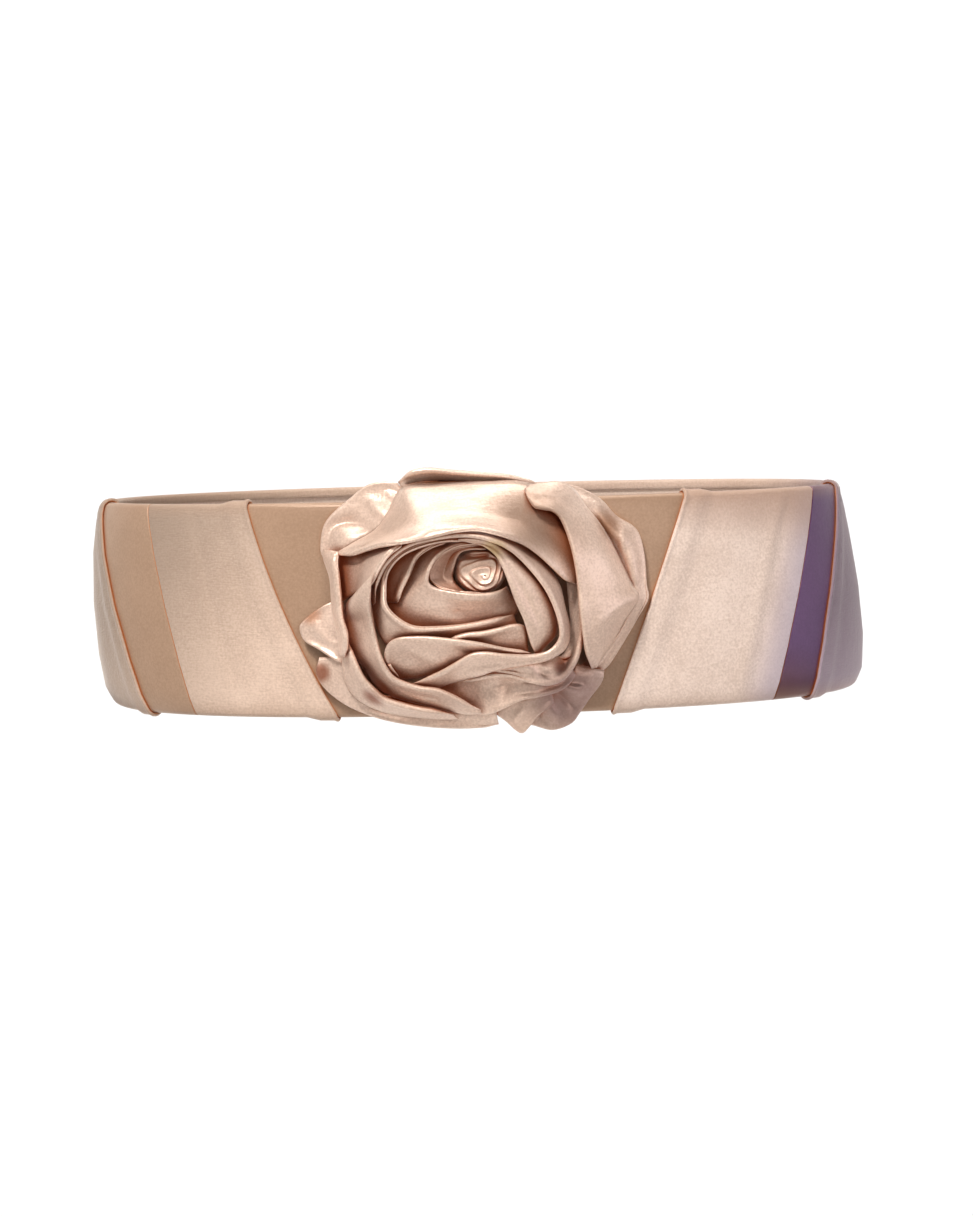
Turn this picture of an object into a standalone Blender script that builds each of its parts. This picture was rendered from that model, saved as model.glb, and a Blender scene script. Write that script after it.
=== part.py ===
# Satin belt worn round a waist: a stiffened band dressed with slanting satin
# panels, hooked at the centre back, with a rose of folded satin on the front.
#
# Metres in the scene, millimetres in the tables. +Z is up, the front faces -Y,
# +X is the right of the picture. The origin is the middle of the ring, where
# the waist holds it. The ring is made level and then rolled to its worn slant.

import math
from collections import namedtuple

import bmesh
import bpy
import numpy as np

MM = 0.001

# The ring: inner face of the band, in millimetres.
HALF_WIDTH = 141.9
HALF_DEPTH = 96.9
OVAL_POWER = 2.2
BELT_HEIGHT = 76.0
WORN_ROLL = math.radians(1.5)

# Layers, measured outward from the inner face of the band.
BAND_WALL = 1.6
PANEL_WALL = 1.2
SEAM_GAP = 0.3
PANEL_INNER = BAND_WALL + SEAM_GAP
PANEL_OUTER = PANEL_INNER + PANEL_WALL
FOLD_RISE = PANEL_WALL + SEAM_GAP
BAND_INSET = 0.4
BAND_CELLS = 64

# A folded edge that laps over the next panel, measured back from its fold.
FOLD_NOSE = 0.8
FOLD_PINCH = 0.3
LAP_WIDTH = 7.0
LAP_RAMP = 5.0
TUCK_UNDER = 6.0

# Hooked closure at the centre back.
UNDERLAP_LENGTH = 30.0
UNDERLAP_ROOT = 26.0
UNDERLAP_HEIGHT = 68.0
UNDERLAP_WALL = 1.2
HOOK_ROOM = 3.9
HOOK_SPACING = 22.0
HOOK_WIDTH = 7.0
HOOK_WALL = 0.6
BAR_RADIUS = 0.5
BAR_HALF_WIDTH = 6.0

# The rose: its bud's place on the front, and how the folded strip is laid.
BUD_X = 1.6
BUD_Z = 13.9
BUD_RADIUS = 8.0
BUD_TOP = 23.5
BUD_TURNS = 2.6
BUD_WALL = 1.9
BUD_CORE = 1.2
PETAL_WALL = 1.0
PETAL_GAP = 0.35
PETAL_STEP = 5.5
PETAL_CELLS = 4
PETAL_ARCH = 1.4
RIM_SHARE = 0.08
RIM_PINCH = 0.4
HEM_PINCH = 0.5
FIELD_STEP = 0.5
FIELD_HALF = 78.0

# How far the wall leans in from its widest line, at shares of its height.
Lean = namedtuple("Lean", "share left right front back")
LEANS = [Lean(*row) for row in (
    (0.00, 7.0, 3.2, 0.8, 0.8),
    (0.08, 3.6, 0.6, 0.3, 0.3),
    (0.25, 1.4, 0.0, 0.0, 0.0),
    (0.50, 0.0, 1.6, 0.3, 0.3),
    (0.75, 0.6, 4.6, 1.2, 1.2),
    (0.94, 2.6, 7.2, 2.1, 2.1),
    (1.00, 4.2, 8.1, 2.6, 2.6),
)]

# Where each slanting seam crosses the bottom, middle and top of the belt,
# as length round the band from the centre front, plus to the right.
Seam = namedtuple("Seam", "bottom middle top")
SEAMS = {
    "left_side_fold": Seam(-130.5, -145.6, -164.5),
    "left_band_seam": Seam(-106.5, -117.2, -128.3),
    "left_front_fold": Seam(-49.5, -68.4, -82.4),
    "right_front_fold": Seam(46.6, 60.9, 75.9),
    "right_band_seam": Seam(110.3, 122.8, 139.6),
    "right_side_fold": Seam(129.0, 140.6, 163.0),
}

# Each stretch of the rose's folded strip, from the first laid to the last.
# Its rim is the rounded fold and its hem the flat end. Places are millimetres
# across and up from the bud's centre, heights are from the belt's face.
PetalRow = namedtuple("PetalRow", "rim_x rim_z rim_high hem_x hem_z hem_high")
PETALS = {
    "petal_right_edge": (
        (21.5, 28, 4, 24, 23, 5),
        (32, 27.5, 3, 30.5, 21.5, 4),
        (41.5, 23, 2.5, 35.5, 17, 3),
        (47.5, 16.5, 2, 41.5, 12, 3),
        (54.5, 11.5, 2, 46, 6, 3),
        (57, 3, 2, 49.5, -0.5, 3),
        (57.5, -7, 2, 51, -6.5, 3),
        (58, -12.5, 2, 51.5, -12, 3),
        (54, -19, 2, 49, -18, 3),
        (49, -27, 2, 44.5, -25, 3),
        (43.5, -35, 2, 38.5, -31.5, 3),
        (38.5, -39.5, 2, 34, -35, 3),
    ),
    "petal_lower_right": (
        (42.5, -37, 4, 32, -34, 6),
        (40.5, -41.5, 4, 31, -37.5, 6),
        (36.5, -46.5, 4, 27.5, -40, 6),
        (33, -51.5, 3, 24.5, -41.5, 6),
        (30, -55, 2.5, 21, -42.5, 5),
        (23.5, -57, 2, 17.5, -44, 5),
        (16.5, -55, 2, 14, -45, 5),
        (10.5, -54, 2, 10.5, -45.5, 5),
    ),
    "petal_bottom_tip": (
        (3.5, -50, 6, 8, -44.5, 7),
        (7.5, -53, 5.5, 10.5, -45.5, 7),
        (11, -56.5, 5, 12.5, -45.5, 7),
        (13.5, -57.5, 5, 15, -45, 7),
        (16.5, -54.5, 5.5, 17.5, -44.5, 7),
        (19.5, -51, 6, 20, -43.5, 7),
        (24.5, -47.5, 6, 23.5, -43, 7),
    ),
    "petal_lower_left": (
        (-57.5, -30, 4, -48.5, -29.5, 6),
        (-58, -35.5, 4, -48.5, -33, 6),
        (-55.5, -40.5, 3.5, -46, -36.5, 6),
        (-50.5, -45, 3, -42.5, -40, 6),
        (-44.5, -48.5, 2.5, -37, -43, 5),
        (-35, -52, 2, -30, -44, 5),
        (-21.5, -54.5, 1.5, -19.5, -44, 5),
        (-7.5, -55.5, 1.5, -7, -45, 5),
        (5, -55, 2, 3.5, -45.5, 5),
    ),
    "petal_left_tip": (
        (-52.5, -10.5, 5, -48, -10.5, 7),
        (-57.5, -13.5, 5, -48, -14, 7),
        (-62, -17, 4.5, -48, -17, 7),
        (-63.5, -19.5, 4.5, -48, -19.5, 7),
        (-62, -24, 4.5, -48, -22, 7),
        (-57, -27, 4.5, -48, -25, 7),
        (-53, -29.5, 5, -48, -27.5, 7),
        (-49, -32, 5, -47.5, -30, 7),
    ),
    "petal_upper_left": (
        (-55, 4, 2, -47.5, 4, 6),
        (-55.5, 8.5, 2, -47.5, 7, 6),
        (-54.5, 15, 2, -46.5, 8.5, 6),
        (-51.5, 19.5, 2, -43, 10.5, 7),
        (-45.5, 24.5, 2.5, -38.5, 13, 8),
        (-39.5, 29, 3, -34, 15.5, 9),
        (-34.5, 30.5, 4, -28.5, 19, 10),
        (-28, 30.5, 5, -23, 21.5, 10),
    ),
    "petal_top_tuck": (
        (-28, 31, 7, -26, 28, 3),
        (-23.5, 34, 9, -22.5, 28, 3),
        (-17.5, 35, 9.5, -16, 28, 3),
        (-8.5, 34, 9.5, -9, 28.5, 3),
        (1, 33, 9, 0, 28.5, 3.5),
        (10, 32, 8.5, 9, 29, 4.5),
        (17.5, 30, 7.5, 17, 28, 5.5),
        (23, 28, 6.5, 22, 25.5, 6),
    ),
    "petal_eye_inner": (
        (-0.9, 9, 23, -1.6, 14.9, 17),
        (-8.1, 5, 23, -14.4, 9, 17),
        (-9.6, -2.8, 23, -18.3, -5.2, 16),
        (-4.8, -8.2, 22, -8, -13.9, 16),
        (3.8, -8.2, 21, 6.3, -13.6, 16),
        (8.7, -2.3, 20, 14.5, -3.9, 15),
    ),
    "petal_eye": (
        (4, 10, 24, 4, 11, 18),
        (-2, 10, 24.5, -3, 12, 18),
        (-9, 9, 25, -11.5, 11, 18),
        (-15.5, 5, 25, -19.5, 8, 18),
        (-18.5, -1.5, 24.5, -29, -3.5, 16.5),
        (-17, -5, 23.5, -33, -15, 15),
        (-9.5, -7, 22.5, -24, -22, 14.5),
        (-1, -8, 21.5, -6.5, -23.5, 14.5),
        (5.5, -7.5, 20.5, 7.5, -20, 14.5),
        (9, -5.5, 19, 13.5, -13.5, 14),
    ),
    "petal_second": (
        (-10.5, 11, 24.5, -11.5, 11.5, 20),
        (-17, 9, 24.5, -19.5, 11, 20),
        (-22, 5.5, 24, -26.5, 7.5, 19),
        (-25, -0.5, 23, -31.5, 0.5, 18),
        (-28, -6.5, 21, -33, -6, 17),
        (-29, -10.5, 19, -33, -10.5, 16),
    ),
    "petal_third": (
        (-2, 11, 25.5, -3, 12.5, 20),
        (-11, 11.5, 26, -11.5, 13, 20),
        (-19.5, 10, 26, -21.5, 11.5, 20),
        (-27.5, 6.5, 26, -31, 8, 19),
        (-32.5, 0.5, 25.5, -36.5, 0.5, 18),
        (-33.5, -6.5, 25, -38, -7.5, 17),
        (-33, -11.5, 24.5, -37.5, -15.5, 16),
        (-29, -16, 23.5, -34.5, -23.5, 15),
        (-23.5, -19, 22.5, -27.5, -29, 14),
        (-16, -19.5, 21, -16.5, -30, 13),
        (-6.5, -19, 20, -5, -29.5, 13),
        (3, -17.5, 19, 5.5, -28, 13),
        (11, -15.5, 17, 14.5, -25.5, 13),
    ),
    "petal_below_bud": (
        (-11.5, -23.5, 18, -13, -29.5, 12),
        (-5.5, -22, 19, -6, -29.5, 12),
        (0.5, -21.5, 19, 0.5, -30, 12),
        (6, -20.5, 19, 5.5, -31, 12),
        (11, -19.5, 18.5, 11, -32, 12),
        (15.5, -20, 18, 16, -32, 12),
    ),
    "petal_leaf": (
        (-7.5, 11, 25.5, -7, 12, 22),
        (-2, 10.5, 26, -1, 12, 22),
        (2, 9, 26, 5.5, 11, 21),
        (6, 5.5, 26, 12, 6.5, 20),
        (8.5, 0.5, 25.5, 17.5, 0.5, 19),
        (10.5, -5, 25, 22, -6, 18),
        (12.5, -11, 24, 25, -12.5, 16.5),
        (15, -17, 22.5, 26, -19, 15),
        (16.5, -22.5, 21, 25.5, -23.5, 14),
        (18, -28, 19, 22, -27, 14),
        (19, -30, 17, 19.5, -30.5, 14),
    ),
    "petal_low_leaf": (
        (-29.5, -36, 13, -29, -39, 9),
        (-33, -31.5, 15, -30.5, -39, 9),
        (-33, -26, 17, -30, -38, 9.5),
        (-29, -23, 18.5, -24.5, -37.5, 10),
        (-20.5, -22.5, 19, -16.5, -36.5, 10),
        (-11, -23.5, 19, -8.5, -35, 11),
        (-1.5, -25, 19, -0.5, -34, 11),
        (8, -27.5, 18.5, 7, -34.5, 11),
        (17, -29, 18, 15, -34.5, 11),
    ),
    "petal_bottom": (
        (-12.5, -45, 5, -17.5, -41, 6),
        (-7, -48, 5.5, -13, -38.5, 7),
        (-1, -50.5, 7, -7.5, -37.5, 8),
        (3.5, -49.5, 9, -2.5, -36, 9),
        (8, -47.5, 9.5, 3, -35.5, 9),
        (13, -45.5, 9.5, 8, -35, 9),
        (19, -44.5, 9.5, 15, -35.5, 9),
        (25.5, -43, 9, 22, -36, 9),
        (30, -40.5, 8, 27.5, -34.5, 8.5),
        (32.5, -38, 7, 30, -33.5, 8),
    ),
    "petal_inner_right": (
        (34.5, -6, 13, 30, -5.5, 9),
        (35, -12.5, 13, 30.5, -12.5, 8.5),
        (35, -19.5, 13, 31, -19.5, 8.5),
        (34, -26.5, 13, 30.5, -26.5, 8.5),
        (32, -32.5, 13, 27.5, -31, 8.5),
        (28, -38, 12.5, 24, -30.5, 8.5),
        (22, -40, 12, 19.5, -32.5, 8.5),
        (15, -38.5, 12, 13.5, -33, 8.5),
        (9, -36.5, 12, 8, -34, 8.5),
        (3.5, -36.5, 11.5, 3.5, -33.5, 8.5),
        (-1.5, -37.5, 11, -0.5, -34.5, 8.5),
        (-7.5, -39, 10, -4.5, -36, 8),
    ),
    "petal_outer_rim": (
        (-36.5, -10, 21, -37.5, -11, 19),
        (-36, -4.5, 23, -37.5, -5.5, 19),
        (-33.5, 2, 24.5, -35, 2.5, 20),
        (-29, 7, 25.5, -30.5, 8, 20),
        (-23, 10.5, 26, -24, 11.5, 20),
        (-16, 12, 26, -16.5, 13.5, 20),
        (-8, 13, 26, -8, 15, 20),
        (-1, 12.5, 26, -0.5, 15, 20),
        (5.5, 10.5, 26, 7.5, 13, 19),
        (12, 6.5, 25, 15.5, 9.5, 18),
        (18.5, -0.5, 24, 22, 3, 17),
        (23, -7, 23, 27, -5, 16),
        (26, -14, 22, 29, -13.5, 16),
        (27.5, -21, 21, 30.5, -21.5, 15),
        (26.5, -25.5, 20, 29, -28, 14),
        (22.5, -29, 19.5, 23, -31.5, 14),
        (16, -30, 19, 15, -33, 13),
        (8, -29.5, 19, 5.5, -34.5, 12.5),
        (1, -28.5, 18.5, -1, -36.5, 12),
        (-4, -29, 18, -5, -37.5, 11.5),
        (-9.5, -32, 17, -10.5, -39, 11),
        (-15.5, -35.5, 15, -15, -40.5, 10.5),
        (-21.5, -38, 13.5, -20.5, -41.5, 10),
        (-26, -39.5, 12, -24.5, -41.5, 10),
    ),
    "petal_left_panel": (
        (-26.5, 10.5, 22, -50, 6, 8),
        (-31, 7.5, 22, -50, 2.5, 8),
        (-34.5, 3, 21, -50, -2, 8),
        (-37, -1.5, 19.5, -49.5, -6, 8),
        (-39.5, -5, 18, -49, -10.5, 8),
    ),
    "petal_left": (
        (-36.5, 1, 20, -47, -10.5, 8),
        (-38, -4, 19, -48, -14, 8),
        (-38.5, -10, 18.5, -48.5, -17.5, 8),
        (-38, -17, 18, -48, -22, 8),
        (-37, -24, 17.5, -46.5, -27.5, 6.5),
        (-35, -31, 17, -41.5, -34.5, 4.5),
        (-32, -36, 16, -38, -40, 3),
        (-28, -38.5, 15, -32, -44, 3),
        (-22, -40.5, 14, -25, -46, 5),
        (-16, -41.5, 13.5, -18, -48, 6),
        (-10.5, -44, 13, -12.5, -49.5, 5.5),
        (-5.5, -47, 12, -6.5, -50.5, 5),
        (-1, -49, 10, -1, -50.5, 5),
    ),
    "petal_top": (
        (-49.5, 6, 13, -50, 7, 9),
        (-43.5, 7, 17, -43.5, 10.5, 9),
        (-34.5, 10, 21, -36.5, 14.5, 9),
        (-24.5, 11.5, 24.5, -31.5, 21, 9.5),
        (-16, 13, 26.5, -26.5, 29, 10),
        (-9, 14.5, 27, -15.5, 30, 10),
        (-1.5, 15, 27, -5, 30.5, 10),
        (5.5, 13.5, 26.5, 4.5, 30.5, 9.5),
        (11, 11.5, 25.5, 12.5, 30.5, 9),
        (16, 9, 24.5, 19.5, 29, 8.5),
        (21, 5, 23, 26.5, 25.5, 8),
        (25.5, 0.5, 21, 32.5, 19, 8),
        (29.5, -3.5, 18.5, 36.5, 10, 8),
        (34, -6, 15, 37.5, 1.5, 8),
    ),
    "petal_right": (
        (16, 27.5, 7.5, 17.5, 29, 7),
        (17.5, 24.5, 11, 22.5, 29.5, 7),
        (20, 22, 15, 28.5, 29.5, 6),
        (23, 21, 17.5, 33.5, 26.5, 4.5),
        (26, 20, 19, 37.5, 20.5, 3.5),
        (29, 17, 19.5, 42, 14.5, 3.2),
        (31.5, 10.5, 20, 46.5, 7, 3.2),
        (33.5, 2, 20, 50, -0.5, 3.2),
        (34.5, -7, 19, 53, -7.5, 3.5),
        (35, -15.5, 19, 55, -12, 3.5),
        (36, -24.5, 17, 49.5, -20, 3.2),
        (37, -31.5, 13, 44, -29, 3.2),
        (38, -36, 8, 40, -35.5, 3.5),
    ),
    "petal_lower_fold": (
        (-47.5, -21.5, 13, -48.5, -24, 7),
        (-46.5, -26, 14, -49, -30, 5.5),
        (-44.5, -31.5, 14.5, -49, -36.5, 4.5),
        (-42, -37, 14, -46.5, -42.5, 4),
        (-38.5, -41, 13, -42, -46.5, 4),
        (-34.5, -44.5, 12, -35.5, -49.5, 4),
        (-29, -46.5, 11, -28.5, -51, 4),
        (-23, -48, 10, -20.5, -52, 4.5),
        (-17, -49, 9, -13.5, -52.5, 4.5),
        (-11, -50.5, 8, -9, -52.5, 4.5),
    ),
    "petal_left_fold": (
        (-49.5, 7.5, 13, -55, 8, 4),
        (-50.5, 4.5, 15, -55, 4.5, 4),
        (-50, -1.5, 16, -53, -2, 4),
        (-49.5, -8.5, 16, -52.5, -9, 4),
        (-49, -15.5, 15, -52, -16, 4),
        (-47.5, -21.5, 13, -50.5, -22.5, 4),
        (-48, -29, 11, -49.5, -29.5, 4),
    ),
}

# Colour, roughness and metallic value of each finish.
Finish = namedtuple("Finish", "red green blue roughness metallic")
FINISHES = {
    "blush_crepe_back": Finish(0.68, 0.50, 0.41, 0.55, 0.0),
    "deep_blush_satin": Finish(0.33, 0.20, 0.13, 0.35, 0.0),
    "plum_satin": Finish(0.13, 0.06, 0.13, 0.35, 0.0),
    "rose_satin": Finish(0.66, 0.46, 0.37, 0.32, 0.0),
    "band_cloth": Finish(0.55, 0.42, 0.34, 0.7, 0.0),
    "hook_metal": Finish(0.7, 0.7, 0.68, 0.3, 1.0),
}


def clear_scene():
    for item in list(bpy.data.objects):
        bpy.data.objects.remove(item)


def make_finish(name):
    finish = FINISHES[name]
    material = bpy.data.materials.new(name)
    material.use_nodes = True
    shader = material.node_tree.nodes["Principled BSDF"]
    shader.inputs["Base Color"].default_value = (finish.red, finish.green, finish.blue, 1.0)
    shader.inputs["Roughness"].default_value = finish.roughness
    shader.inputs["Metallic"].default_value = finish.metallic
    return material


def oval_point(angle):
    """Place and outward direction on the ring's plan, by angle from the front."""
    side = math.sin(angle)
    ahead = math.cos(angle)
    x = HALF_WIDTH * math.copysign(abs(side) ** (2 / OVAL_POWER), side)
    y = -HALF_DEPTH * math.copysign(abs(ahead) ** (2 / OVAL_POWER), ahead)
    out_x = math.copysign(abs(x / HALF_WIDTH) ** (OVAL_POWER - 1) / HALF_WIDTH, x)
    out_y = math.copysign(abs(y / HALF_DEPTH) ** (OVAL_POWER - 1) / HALF_DEPTH, y)
    length = math.hypot(out_x, out_y)
    return x, y, out_x / length, out_y / length


def measure_ring():
    """Table from length round the ring to the angle that reaches it."""
    angles = np.linspace(-math.pi, math.pi, 7201)
    places = np.array([oval_point(angle)[:2] for angle in angles])
    steps = np.hypot(*np.diff(places, axis=0).T)
    lengths = np.concatenate([[0.0], np.cumsum(steps)])
    lengths -= np.interp(0.0, angles, lengths)
    return angles, lengths


RING_ANGLES, RING_LENGTHS = measure_ring()
HALF_GIRTH = RING_LENGTHS[-1]


def lean_in(out_x, out_y, share):
    shares = [row.share for row in LEANS]
    across = "left" if out_x < 0 else "right"
    along = "front" if out_y < 0 else "back"
    sideways = np.interp(share, shares, [getattr(row, across) for row in LEANS])
    lengthways = np.interp(share, shares, [getattr(row, along) for row in LEANS])
    return sideways * out_x**2 + lengthways * out_y**2


def roll(x, y, z):
    turned_x = x * math.cos(WORN_ROLL) - z * math.sin(WORN_ROLL)
    turned_z = x * math.sin(WORN_ROLL) + z * math.cos(WORN_ROLL)
    return turned_x * MM, y * MM, turned_z * MM


def level_wall(length, share, out):
    """A place on the level ring: length round it, share of its height, layer."""
    wrapped = (length + HALF_GIRTH) % (2 * HALF_GIRTH) - HALF_GIRTH
    x, y, out_x, out_y = oval_point(np.interp(wrapped, RING_LENGTHS, RING_ANGLES))
    reach = out - lean_in(out_x, out_y, share)
    return x + out_x * reach, y + out_y * reach, (share - 0.5) * BELT_HEIGHT


def wall_place(length, share, out):
    return roll(*level_wall(length, share, out))


def finish_piece(name, mesh, finish):
    """Turns a closed mesh to face outward and puts it in the scene as one piece."""
    bmesh.ops.triangulate(mesh, faces=mesh.faces[:])
    if mesh.calc_volume(signed=True) < 0:
        bmesh.ops.reverse_faces(mesh, faces=mesh.faces[:])
    data = bpy.data.meshes.new(name)
    mesh.to_mesh(data)
    mesh.free()
    data.materials.append(finish)
    data.shade_smooth()
    piece = bpy.data.objects.new(name, data)
    bpy.context.scene.collection.objects.link(piece)


def close_sheet(name, top, under, finish):
    """One closed wall from two matching grids of places, top and underside."""
    rows = len(top)
    columns = len(top[0])
    mesh = bmesh.new()
    upper = [[mesh.verts.new(place) for place in row] for row in top]
    lower = [[mesh.verts.new(place) for place in row] for row in under]
    for i in range(rows - 1):
        for j in range(columns - 1):
            mesh.faces.new((upper[i][j], upper[i][j + 1], upper[i + 1][j + 1], upper[i + 1][j]))
            mesh.faces.new((lower[i][j], lower[i + 1][j], lower[i + 1][j + 1], lower[i][j + 1]))
    for i in range(rows - 1):
        for j, turned in ((0, False), (columns - 1, True)):
            ring = [upper[i][j], upper[i + 1][j], lower[i + 1][j], lower[i][j]]
            mesh.faces.new(ring[::-1] if turned else ring)
    for j in range(columns - 1):
        for i, turned in ((0, True), (rows - 1, False)):
            ring = [upper[i][j], upper[i][j + 1], lower[i][j + 1], lower[i][j]]
            mesh.faces.new(ring[::-1] if turned else ring)
    finish_piece(name, mesh, finish)


def seam_length(name, share):
    """Length round the ring at which a seam crosses a share of the height."""
    seam = SEAMS[name]
    straight = seam.bottom + (seam.top - seam.bottom) * share
    bend = seam.middle - (seam.bottom + seam.top) / 2
    return straight + bend * 4 * share * (1 - share)


def fold_rise(distance):
    """How far a lapping panel stands out, by distance back from its fold."""
    if distance <= LAP_WIDTH:
        return FOLD_RISE
    return FOLD_RISE * max(0.0, 1 - (distance - LAP_WIDTH) / LAP_RAMP)


def panel_columns(start, end, start_folded, end_folded, cells):
    """Lengths of a panel's columns at one height, with its distance from a fold."""
    edge_steps = (0.0, FOLD_NOSE, LAP_WIDTH, LAP_WIDTH + LAP_RAMP)
    head = [(start + d, d) for d in edge_steps] if start_folded else [(start, None)]
    tail = [(end - d, d) for d in reversed(edge_steps)] if end_folded else [(end, None)]
    first = head[-1][0]
    last = tail[0][0]
    body = [(first + (last - first) * k / cells, None) for k in range(1, cells)]
    return head + body + tail


def make_panel(name, start, end, folds, cells, finish):
    """A satin panel between two seams, each a function of the share of height."""
    top = []
    under = []
    for share in [row.share for row in LEANS]:
        outer = []
        inner = []
        for length, distance in panel_columns(start(share), end(share), *folds, cells):
            rise = 0.0 if distance is None else fold_rise(distance)
            pinch = FOLD_PINCH * PANEL_WALL if distance == 0.0 else 0.0
            outer.append(wall_place(length, share, PANEL_OUTER + rise - pinch))
            inner.append(wall_place(length, share, PANEL_INNER + rise + pinch))
        top.append(outer)
        under.append(inner)
    close_sheet(name, top, under, finish)


def make_band(finish):
    inset = BAND_INSET / BELT_HEIGHT
    shares = [min(max(row.share, inset), 1 - inset) for row in LEANS]
    end = HALF_GIRTH - SEAM_GAP / 2
    lengths = np.linspace(-end, end, BAND_CELLS + 1)
    top = [[wall_place(length, share, BAND_WALL) for length in lengths] for share in shares]
    under = [[wall_place(length, share, 0.0) for length in lengths] for share in shares]
    close_sheet("base_band", top, under, finish)


def make_panels(light, dark, plum):
    def at(name, shift=0.0):
        return lambda share: seam_length(name, share) + shift

    back = HALF_GIRTH - SEAM_GAP / 2
    half = SEAM_GAP / 2
    make_panel("side_panel_left", lambda share: -back, at("left_side_fold"), (False, True), 30, light)
    make_panel(
        "dark_band_left", at("left_side_fold", -TUCK_UNDER), at("left_band_seam", -half),
        (False, False), 4, dark)
    make_panel(
        "front_panel_left", at("left_band_seam", half), at("left_front_fold"), (False, True), 6, light)
    make_panel(
        "centre_panel", at("left_front_fold", -TUCK_UNDER), at("right_front_fold", TUCK_UNDER),
        (False, False), 14, dark)
    make_panel(
        "front_panel_right", at("right_front_fold"), at("right_band_seam", -half), (True, False), 6, light)
    make_panel(
        "dark_band_right", at("right_band_seam", half), at("right_side_fold", TUCK_UNDER),
        (False, False), 3, plum)
    make_panel("side_panel_right", at("right_side_fold"), lambda share: back, (True, False), 30, light)


def back_place(past, up, out):
    """A place by the centre back: past it to the right, height, layer."""
    return wall_place(HALF_GIRTH - past, up / BELT_HEIGHT + 0.5, out)


def make_underlap(finish):
    """Tab that is sewn inside the left end and reaches behind the right one."""
    columns = (
        (-UNDERLAP_ROOT, SEAM_GAP), (-12.0, SEAM_GAP), (-6.0, SEAM_GAP), (0.0, HOOK_ROOM * 0.6),
        (5.0, HOOK_ROOM), (14.0, HOOK_ROOM), (22.0, HOOK_ROOM), (UNDERLAP_LENGTH, HOOK_ROOM))
    heights = np.linspace(-UNDERLAP_HEIGHT / 2, UNDERLAP_HEIGHT / 2, 5)
    top = [[back_place(past, up, -room) for past, room in columns] for up in heights]
    under = [[back_place(past, up, -room - UNDERLAP_WALL) for past, room in columns] for up in heights]
    close_sheet("closure_underlap", top, under, finish)


def make_hook(name, height, finish):
    """Flat hook inside the right end: a plate whose end turns back round a bar."""
    near = -SEAM_GAP
    far = near - HOOK_WALL - 2.0
    path = (
        (20.0, near, 0.0, -1.0), (13.0, near, 0.0, -1.0), (7.0, near, 0.0, -1.0),
        (5.6, near - 0.4, 0.7, -0.7), (5.0, (near + far - HOOK_WALL) / 2, 1.0, 0.0),
        (5.6, far - HOOK_WALL + 0.4, 0.7, 0.7), (7.0, far - HOOK_WALL, 0.0, 1.0),
        (10.5, far - HOOK_WALL, 0.0, 1.0))
    sides = (-HOOK_WIDTH / 2, HOOK_WIDTH / 2)
    top = [[back_place(past, height + side, out) for side in sides] for past, out, *_ in path]
    under = [
        [back_place(past + step * HOOK_WALL, height + side, out + lift * HOOK_WALL) for side in sides]
        for past, out, step, lift in path
    ]
    close_sheet(name, top, under, finish)


def make_bar(name, height, finish):
    """Wire bar sewn to the underlap: two feet and a raised bar between them."""
    foot = -HOOK_ROOM + SEAM_GAP + BAR_RADIUS
    bar = -SEAM_GAP - HOOK_WALL - 1.0
    half = BAR_HALF_WIDTH
    route = (
        (15.0, -half, foot), (10.5, -half, foot), (9.0, -half, (foot * 2 + bar) / 3),
        (8.2, -half + 0.4, (foot + bar * 2) / 3), (8.0, -half + 1.6, bar), (8.0, half - 1.6, bar),
        (8.2, half - 0.4, (foot + bar * 2) / 3), (9.0, half, (foot * 2 + bar) / 3),
        (10.5, half, foot), (15.0, half, foot))
    centres = [np.array(back_place(past, height + up, out)) for past, up, out in route]
    sides = 6
    rings = []
    for i, centre in enumerate(centres):
        ahead = centres[min(i + 1, len(centres) - 1)] - centres[max(i - 1, 0)]
        ahead /= np.linalg.norm(ahead)
        outward = np.array(back_place(route[i][0], height + route[i][1], route[i][2] + 1.0)) - centre
        side = np.cross(ahead, outward)
        side /= np.linalg.norm(side)
        other = np.cross(side, ahead)
        turns = [2 * math.pi * k / sides for k in range(sides)]
        rings.append([
            tuple(centre + (side * math.cos(turn) + other * math.sin(turn)) * BAR_RADIUS * MM)
            for turn in turns
        ])
    mesh = bmesh.new()
    loops = [[mesh.verts.new(place) for place in ring] for ring in rings]
    for loop, following in zip(loops, loops[1:]):
        for k in range(sides):
            after = (k + 1) % sides
            mesh.faces.new((loop[k], loop[after], following[after], following[k]))
    mesh.faces.new(loops[0][::-1])
    mesh.faces.new(loops[-1])
    finish_piece(name, mesh, finish)


def make_closure(cloth, metal):
    make_underlap(cloth)
    for number, height in enumerate((-HOOK_SPACING, 0.0, HOOK_SPACING), start=1):
        make_hook(f"hook_{number}", height, metal)
        make_bar(f"hook_bar_{number}", height, metal)


def face_depth(x, z):
    """Y of the belt's outer face in front, at a place on the level belt."""
    share = min(max(z / BELT_HEIGHT + 0.5, 0.0), 1.0)
    ratio = min(abs(x) / (HALF_WIDTH + PANEL_OUTER), 0.95)
    out_x = math.copysign(ratio ** (OVAL_POWER - 1) / HALF_WIDTH, x)
    out_y = -((1 - ratio**OVAL_POWER) ** ((OVAL_POWER - 1) / OVAL_POWER)) / HALF_DEPTH
    length = math.hypot(out_x, out_y)
    reach = PANEL_OUTER - lean_in(out_x / length, out_y / length, share)
    ratio = min(abs(x) / (HALF_WIDTH + reach), 0.95)
    return -(HALF_DEPTH + reach) * (1 - ratio**OVAL_POWER) ** (1 / OVAL_POWER)


def rose_place(x, z, high):
    return roll(x + BUD_X, face_depth(x + BUD_X, z + BUD_Z) - high, z + BUD_Z)


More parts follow.
